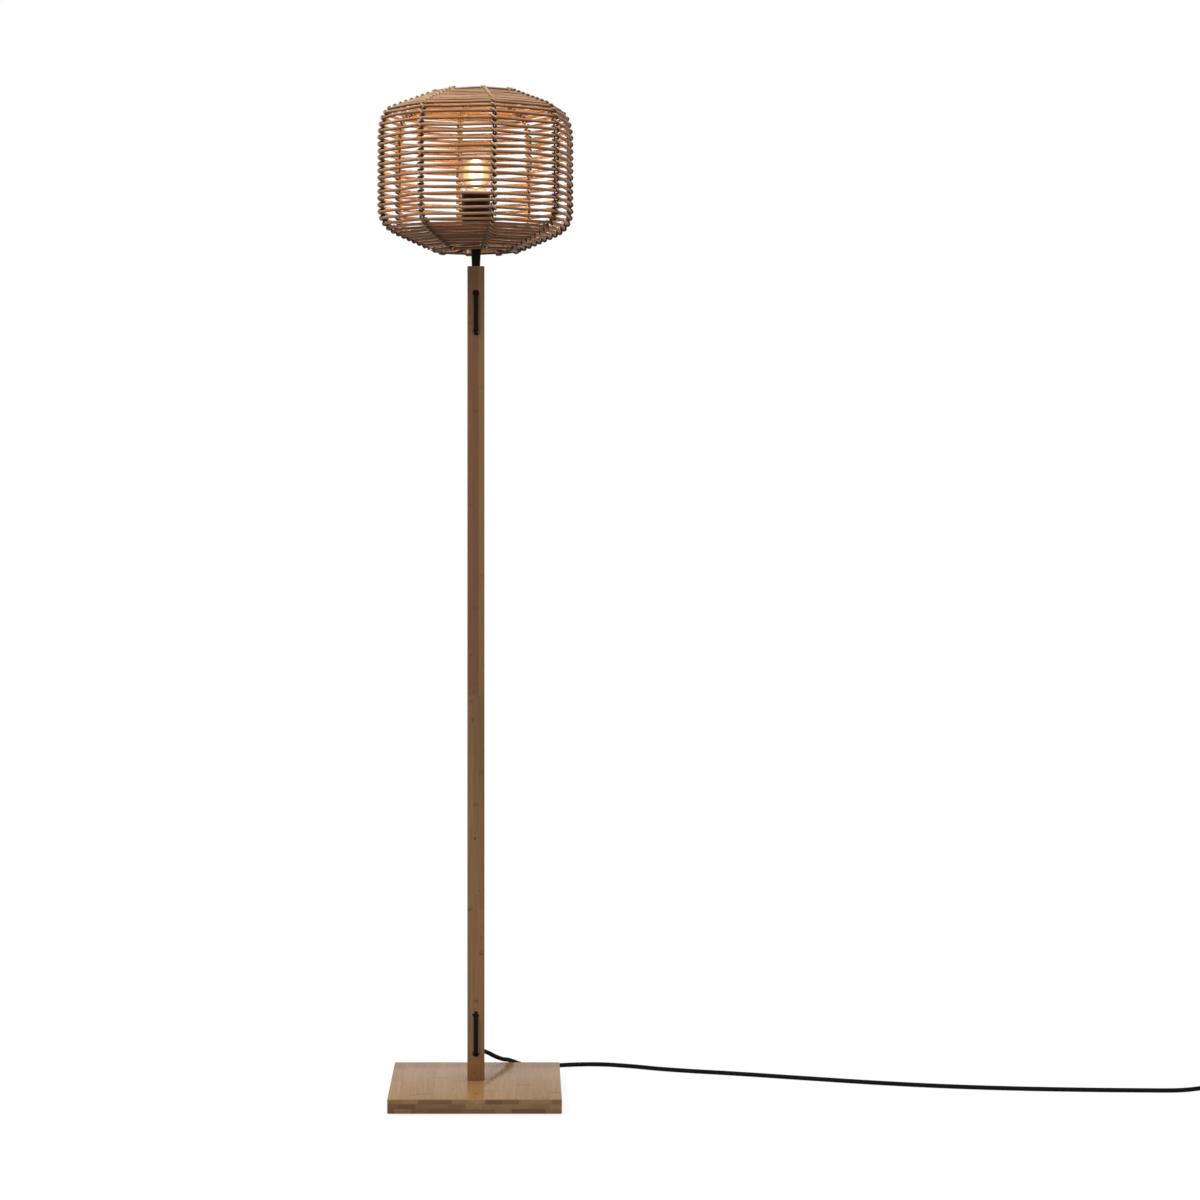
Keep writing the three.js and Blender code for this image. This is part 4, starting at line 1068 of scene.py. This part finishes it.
# Lamp holder: a black bakelite cap that clamps the spider, with a ribbed body screwed onto it. A white
# ceramic insert inside carries the brass screw shell and the centre contact.
bakelite = Mottled("black_bakelite", {"Specular IOR Level": 0.1}, 160, "0b0603", "1c1006", 0.3, 0.15, 3)
cap_low, cap_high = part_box("holder_cap")
body_low, body_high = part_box("holder_body")
holder_radius = (cap_high.x - cap_low.x) / 2
cap_wall = 0.0045
cap_floor = 0.003
body_wall = 0.002
holder_ease = 0.0012
cap = turned(
    [
        (sleeve_bore, cap_low.z),
        (holder_radius - 2 * holder_ease, cap_low.z),
        (holder_radius - 0.6 * holder_ease, cap_low.z + 0.6 * holder_ease),
        (holder_radius, cap_low.z + 2 * holder_ease),
        (holder_radius, cap_high.z - holder_ease),
        (holder_radius - 0.4 * holder_ease, cap_high.z - 0.2 * holder_ease),
        (holder_radius - holder_ease, cap_high.z),
        (holder_radius - cap_wall, cap_high.z),
        (holder_radius - cap_wall, cap_low.z + cap_floor),
        (sleeve_bore, cap_low.z + cap_floor),
        (sleeve_bore, cap_low.z),
    ],
    64,
)
fit(made("holder_black_cap", cap), bakelite, "holder_cap")
rings = 5
groove = 0.0006
ring_pitch = 0.003
body_line = [
    (holder_radius - body_wall, body_low.z),
    (holder_radius - holder_ease, body_low.z),
    (holder_radius, body_low.z + holder_ease),
]
for i in range(rings):
    ring_z = body_high.z - holder_ease * 2 - (rings - i) * ring_pitch
    body_line += [
        (holder_radius, ring_z),
        (holder_radius - groove, ring_z + ring_pitch * 0.3),
        (holder_radius - groove, ring_z + ring_pitch * 0.45),
        (holder_radius, ring_z + ring_pitch * 0.75),
    ]
body_line += [
    (holder_radius, body_high.z - holder_ease),
    (holder_radius - 0.5 * holder_ease, body_high.z),
    (holder_radius - body_wall, body_high.z),
    (holder_radius - body_wall, body_low.z),
]
fit(made("holder_black_body", turned(body_line, 64)), bakelite, "holder_body")
ceramic_look = {"Coat Weight": 0.3, "Coat Roughness": 0.1}
ceramic = Mottled("white_ceramic", ceramic_look, 500, "ece8de", "d9d3c6", 0.25, 0.2)
black_plastic = Mottled("black_plastic", {"Specular IOR Level": 0.4}, 1800, "0e0d0c", "1d1a18", 0.42, 0.12)
black_plastic.relief(black_plastic.mottle, depth=0.00004)
carry(ceramic, "holder_insert")
carry(brass, "holder_screw_shell", "holder_centre_contact", "lead_wire_1", "lead_wire_2")
carry(black_plastic, "cord_grip")


# Bulb: a small clear globe with four lit filaments on a glass stem, in a nickel screw cap. It unscrews
# upwards, out of the holder.
bulb_low, bulb_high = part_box("bulb_glass")
screw_low, screw_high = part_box("bulb_screw_cap")
globe_radius = (bulb_high.x - bulb_low.x) / 2
globe_z = bulb_high.z - globe_radius
glass_wall = 0.0008
globe_steps = 22
screw_radius = (screw_high.x - screw_low.x) / 2
neck_clearance = 0.0009
neck_foot = screw_radius - neck_clearance
neck_radius = 0.016
neck_taper = 0.0006
neck_length = 0.003
neck_height = 0.04
neck_z = body_low.z + neck_height
neck_angle = math.asin(neck_radius / globe_radius)
glass_line = [
    (neck_foot, bulb_low.z),
    (neck_foot, screw_high.z),
    (neck_radius - neck_taper, neck_z - neck_length),
]
for i in range(globe_steps):
    angle = neck_angle + (math.pi - neck_angle) * i / globe_steps
    glass_line.append((globe_radius * math.sin(angle), globe_z - globe_radius * math.cos(angle)))
glass_line.append((0, bulb_high.z))
globe = made("bulb_clear_glass", turned(glass_line, 64), 80)
glass_sheet = globe.modifiers.new("blown_wall", "SOLIDIFY")
glass_sheet.thickness = glass_wall
glass_sheet.offset = -1
clear_glass = Finish("bulb_clear_glass", {"Base Color": "ffffff", "Roughness": 0.04, "IOR": 1.45})
see_through = clear_glass.node("ShaderNodeBsdfTransparent", sockets={"Color": "fdf6ec"})
sheen = clear_glass.node("ShaderNodeBsdfGlossy", sockets={"Color": "ffffff", "Roughness": 0.04})
rim_light = clear_glass.node("ShaderNodeLayerWeight", sockets={"Blend": 0.12})
clear_glass.show(rim_light * 0.5 + 0.02, see_through, sheen)
fit(globe, clear_glass, "bulb_glass", body="bulb")

screw_hole = 0.0085
screw_shoulder = 0.0035
screw_lip = 0.0006
screw_wall = 0.0004
thread_depth = 0.001
thread_turns = 6
thread_steps = 8 * thread_turns
above_thread = 0.003
below_thread = 0.004
thread_top = screw_high.z - above_thread
thread_foot = screw_low.z + below_thread
screw_line = [
    (screw_hole, screw_low.z),
    (screw_radius - screw_shoulder, screw_low.z),
    (screw_radius - 1.1 * thread_depth, thread_foot),
]
for i in range(thread_steps + 1):
    share = i / thread_steps
    swell = thread_depth / 2 * (1 - math.cos(math.tau * thread_turns * share))
    height = thread_foot + (thread_top - thread_foot) * share
    screw_line.append((screw_radius - thread_depth + swell, height))
screw_line.append((screw_radius - screw_lip, thread_top + thread_depth / 2))
screw_line.append((screw_radius - screw_lip, screw_high.z))
screw_cap = made("bulb_nickel_cap", turned(screw_line, 64))
cap_sheet = screw_cap.modifiers.new("rolled_wall", "SOLIDIFY")
cap_sheet.thickness = screw_wall
cap_sheet.offset = -1
fit(screw_cap, zinc, "bulb_screw_cap", body="bulb")
contact_look = {"Coat Weight": 0.4, "Coat Roughness": 0.08}
black_glass = Mottled("bulb_black_glass", contact_look, 600, "0c0a09", "1c1714", 0.12, 0.15)
carry(black_glass, "bulb_contact")
carry(clear_glass, "bulb_stem")

cage_low, cage_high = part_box("bulb_filaments")
filament_width = 0.0018
filament_count = 4
filament_steps = 12
filament_inset = 0.0005
lower_reach = 0.0065
upper_reach = 0.003
glow = Finish("bulb_glow", {"Base Color": "ffdca8", "Roughness": 0.6, "Emission Strength": 9.0})
along_filament = glow.patches(glow.place(), 0.3, 0.7, scale=900, detail=1)
glow.surface({"Emission Color": glow.mix(along_filament, "ffe2b0", "fff0d2")})
filaments = bmesh.new()
for i in range(filament_count):
    angle = math.tau * (i + 0.5) / filament_count
    foot = around(angle, lower_reach, cage_low.z + filament_inset)
    head = around(angle, upper_reach, cage_high.z - filament_inset)
    line = [foot.lerp(head, k / filament_steps) for k in range(filament_steps + 1)]
    rod = tube("filament", line, filament_width / 2, 3)
    filaments.from_mesh(rod.data)
    bpy.data.objects.remove(rod)
fit(made("bulb_lit_filaments", filaments), glow, "bulb_filaments", body="bulb")

# The glow that spreads round the filaments, from its white middle to its warm edge.
for name, radius, height, colour, strength, most, power in (
    ("bulb_glare", 0.0132, 0.0243, "fffaf0", 30.0, 1.0, 5.5),
    ("bulb_halo", 0.0205, 0.0244, "ffedb6", 2.4, 0.9, 1.9),
    ("bulb_haze", 0.0245, 0.0245, "d9a16a", 1.0, 0.62, 0.4),
):
    haze_shape = bmesh.new()
    bmesh.ops.create_uvsphere(haze_shape, u_segments=32, v_segments=20, radius=1)
    put(haze_shape, (0, 0, globe_z), Matrix.Diagonal((radius, radius, height, 1)))
    haze_body = made(name, haze_shape, 80)
    haze_body.visible_shadow = False
    haze = Finish("bulb_glow", {})
    haze_clear = haze.node("ShaderNodeBsdfTransparent", sockets={"Color": "ffffff"})
    haze_light = haze.node("ShaderNodeEmission", sockets={"Color": colour, "Strength": strength})
    haze_edge = haze.node("ShaderNodeLayerWeight", sockets={"Blend": 0.5}, out="Facing")
    haze.show(maths("POWER", 1 - haze_edge, power) * most, haze_clear, haze_light)
    fit(haze_body, haze, body="bulb")

bulb_light = bpy.data.lights.new("bulb_light", "POINT")
bulb_light.energy = 2.0
bulb_light.color = paint("ffe2aa")[:3]
bulb_light.shadow_soft_size = 0.012
bulb_lamp = bpy.data.objects.new("bulb_light", bulb_light)
bulb_lamp.location = (0, 0, (cage_low.z + cage_high.z) / 2)
bulb_lamp.visible_camera = False
bulb_lamp.visible_glossy = False
bpy.context.scene.collection.objects.link(bulb_lamp)


# Held cord: the same braided lead, from the grip in the holder down through the sleeve, out at the top hole
# and in and out of the other holes, with a tight bend at each of their edges.
held_bend = 0.00605
held_lean = 0.0014
held_inset = 0.0025
mouth = pole_width / 2 - held_inset
grip_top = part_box("cord_grip")[1].z


def quarter(centre_y, centre_z, start, end, steps=10):
    """The points of a bend in the cord, from one angle to another round its centre"""
    angles = [math.radians(start + (end - start) * i / steps) for i in range(steps + 1)]
    centre = Vector((0, centre_y, centre_z))
    return [centre + held_bend * Vector((0, math.cos(angle), math.sin(angle))) for angle in angles]


held_line = [
    Vector((0, 0, grip_top)),
    Vector((0, 0, pole_high.z)),
    *quarter(-held_bend, hole_z[0] + held_lean + held_bend, 0, -90),
    *quarter(-mouth, hole_z[0] + held_lean - held_bend, 90, 180),
    *quarter(-mouth, hole_z[1] - held_lean + held_bend, 180, 270),
    *quarter(mouth, hole_z[1] + held_lean - held_bend, 90, 0),
    *quarter(mouth, hole_z[2] - held_lean + held_bend, 0, -90),
    *quarter(-mouth, hole_z[2] + held_lean - held_bend, 90, 180),
    *quarter(-mouth, hole_z[3] - held_lean + held_bend, 180, 270),
    Vector((0, pole_width / 2 - cord_width / 2, hole_z[3])),
    Vector((0, route_to_switch[0][1], hole_z[3])),
]
fit(tube("cord_through_pole", held_line, cord_width / 2), textile, "cord_in_pole")


# Foot switch: a black plastic box in two halves with a round button on a spring. The button's flange stays
# under the lid, and a tapered relief guards the cord at each end.
button_low, button_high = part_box("switch_button")
case_low, case_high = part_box("switch_cover")
tray_low, tray_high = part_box("switch_base")
switch_x, switch_y, _ = (tray_low + tray_high) / 2
split = (switch_x, switch_y, case_low.z)
case_corner = 0.016
case_wall = 0.0024
case_ease = 0.003
tray_ease = 0.0008
button_radius = 0.012
button_gap = 0.0003
button_hole_depth = 0.005
button_hole_ease = 0.0004
relief_hole_radius = 0.0051
relief_hole_reach = 0.06
walls = Vector((case_wall, case_wall, case_wall))
open_side = Vector((case_wall, case_wall, -past))


def rounded_slab(low, high, corner, top_ease=0.0, foot_ease=0.0):
    """A slab with round upright corners and eased edges at its top and foot"""
    shape = block(low, high)
    half = (high.z - low.z) / 2
    eased(shape, [e for e in shape.edges if abs(e.verts[0].co.z - e.verts[1].co.z) > half], corner, 10)
    for ease, height in ((top_ease, high.z), (foot_ease, low.z)):
        if ease:
            level = [edge for edge in shape.edges if all(abs(v.co.z - height) < 1e-6 for v in edge.verts)]
            eased(shape, level, ease, 5)
    return shape


along_x = Matrix.Rotation(math.radians(90), 4, "Y")
cover_room = rounded_slab(case_low + open_side, case_high - walls, case_corner - case_wall)
tray_room = rounded_slab(tray_low + walls, tray_high - open_side, case_corner - case_wall)
button_hole = drill(
    button_radius + button_gap,
    case_high.z - button_hole_depth,
    case_high.z,
    place=(switch_x, switch_y, 0),
    sink=button_hole_ease,
)
cover = pierced(
    made("switch_black_cover", rounded_slab(case_low, case_high, case_corner, top_ease=case_ease)),
    made("room", cover_room),
    button_hole,
    drill(relief_hole_radius, -relief_hole_reach, relief_hole_reach, along_x, split),
)
fit(cover, black_plastic, "switch_cover")
tray = pierced(
    made("switch_black_tray", rounded_slab(tray_low, tray_high, case_corner, foot_ease=tray_ease)),
    made("room", tray_room),
    drill(relief_hole_radius, -relief_hole_reach, relief_hole_reach, along_x, split),
)
fit(tray, black_plastic, "switch_base")
flange_radius = (button_high.x - button_low.x) / 2
flange_height = 0.003
flange_top = button_low.z + flange_height
button_ease = 0.0014
button_bevel = 0.0004
bevel_drop = 0.0005
dish_edge = 0.003
dish_edge_drop = 0.0001
dish_depth = 0.0012
button_shape = turned(
    [
        (0, button_low.z),
        (flange_radius, button_low.z),
        (flange_radius, flange_top),
        (button_radius, flange_top),
        (button_radius, button_high.z - button_ease),
        (button_radius - button_bevel, button_high.z - bevel_drop),
        (button_radius - button_ease, button_high.z),
        (button_radius - dish_edge, button_high.z - dish_edge_drop),
        (0, button_high.z - dish_depth),
    ],
    64,
)
put(button_shape, (switch_x, switch_y, 0))
button = made("switch_round_button", button_shape)
fit(button, black_plastic, "switch_button", body="switch_button")
carry(ceramic, "switch_contact_block")
carry(zinc, "switch_screw_1", "switch_screw_2")

relief_neck = 0.0045
relief_tip = 0.004
relief_bore = cord_width / 2 + gap
relief_rings = 5
ring_depth = 0.0006
flange_reach = 0.006
flange_thickness = 0.002


def ringed(start, end, radii, places):
    """A relief's profile from start to end: ridges of these radii, with a ring cut into it after each"""
    step = (end - start) / len(radii)
    return [
        (radius - depth, start + (i + place) * step)
        for i, radius in enumerate(radii)
        for place, depth in zip(places, (0, 0, ring_depth, ring_depth))
    ]


wall_at = case_high.x - switch_x
for name, side in (("switch_relief_in", -1), ("switch_relief_out", 1)):
    root, tip = sorted(side * (corner.x - switch_x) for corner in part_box(name))
    radii = [relief_neck + (relief_tip - relief_neck) * i / relief_rings for i in range(relief_rings)]
    relief = turned(
        [
            (relief_bore, root),
            (flange_reach, root),
            (flange_reach, root + flange_thickness),
            (relief_neck, root + flange_thickness),
            *ringed(wall_at, tip, radii, (0.1, 0.55, 0.62, 0.93)),
            (relief_tip, tip),
            (relief_bore, tip),
            (relief_bore, root),
        ],
        32,
    )
    put(relief, split, Matrix.Rotation(side * math.radians(90), 4, "Y"))
    ribbed = made(name + "_ribbed", relief)
    fit(ribbed, black_plastic, name)


# Plug: a flat two-pin plug of black plastic, moulded round the cord's end, with nickel pins and a ribbed
# relief that guards the cord where it comes in.
plug_low, plug_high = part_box("plug_body")
plug_x = (plug_low.x + plug_high.x) / 2
plug_z = (plug_low.z + plug_high.z) / 2
plug_size = plug_high - plug_low
tail_half = 0.007
plug_ease = 0.0022
front_half = plug_size.x / 2
outline = [
    (-tail_half, plug_low.y),
    (tail_half, plug_low.y),
    (front_half, plug_low.y + plug_size.y / 2),
    (front_half, plug_high.y),
    (-front_half, plug_high.y),
    (-front_half, plug_low.y + plug_size.y / 2),
]
plug_shape = bmesh.new()
plug_face = plug_shape.faces.new([plug_shape.verts.new((plug_x + x, y, plug_low.z)) for x, y in outline])
raised = bmesh.ops.extrude_face_region(plug_shape, geom=[plug_face])
for part in raised["geom"]:
    if isinstance(part, bmesh.types.BMVert):
        part.co.z = plug_high.z
bmesh.ops.recalc_face_normals(plug_shape, faces=plug_shape.faces)
eased(plug_shape, plug_shape.edges[:], plug_ease, 5)
plug_body = made("plug_black_body", plug_shape)
fit(plug_body, black_plastic, "plug_body")
pin_nose = 0.0016
for node in ("plug_pin_1", "plug_pin_2"):
    pin_low, pin_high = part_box(node)
    pin_radius = (pin_high.x - pin_low.x) / 2
    pin_middle = (pin_low + pin_high) / 2
    pin_length = pin_high.y - pin_low.y
    pin_shape = turned(
        [
            (0, 0),
            (pin_radius, 0),
            (pin_radius, pin_length - pin_nose),
            (pin_radius * 0.8, pin_length - pin_nose * 3 / 8),
            (pin_radius * 0.4, pin_length),
            (0, pin_length),
        ],
        32,
    )
    put(pin_shape, (pin_middle.x, pin_low.y, pin_middle.z), along_y)
    pin = made(node + "_nickel", pin_shape)
    fit(pin, zinc, node)
nose = plug_low.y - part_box("plug_relief")[0].y
nose_neck = 0.00475
nose_root = 0.004
radii = [relief_tip + (nose_neck - relief_tip) * (i + 1) / relief_rings for i in range(relief_rings)]
nose_shape = turned(
    [
        (relief_bore, -nose),
        (relief_tip, -nose),
        *ringed(-nose, 0, radii, (0.1, 0.5, 0.58, 0.92)),
        (nose_neck, 0),
        (nose_neck, nose_root),
        (relief_bore, nose_root),
        (relief_bore, -nose),
    ],
    32,
)
put(nose_shape, (plug_x, plug_low.y, plug_z), along_y)
nose_piece = made("plug_ribbed_relief", nose_shape)
fit(nose_piece, black_plastic, "plug_relief")


# Tie: a flat band of black plastic, closed on itself, round all the turns of the coil. It keeps the coil
# together on the floor.
tie_low, tie_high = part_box("cord_tie")
tie_wall = 0.0008
tie_ease = 0.0003
tie_inner_ease = 0.0004
tie_inset = Vector((-past, tie_wall, tie_wall))
strap_room = block(tie_low + tie_inset, tie_high - tie_inset, tie_inner_ease, 2)
strap = pierced(made("coil_tie", block(tie_low, tie_high, tie_ease, 2)), made("room", strap_room))
fit(strap, black_plastic, "cord_tie")
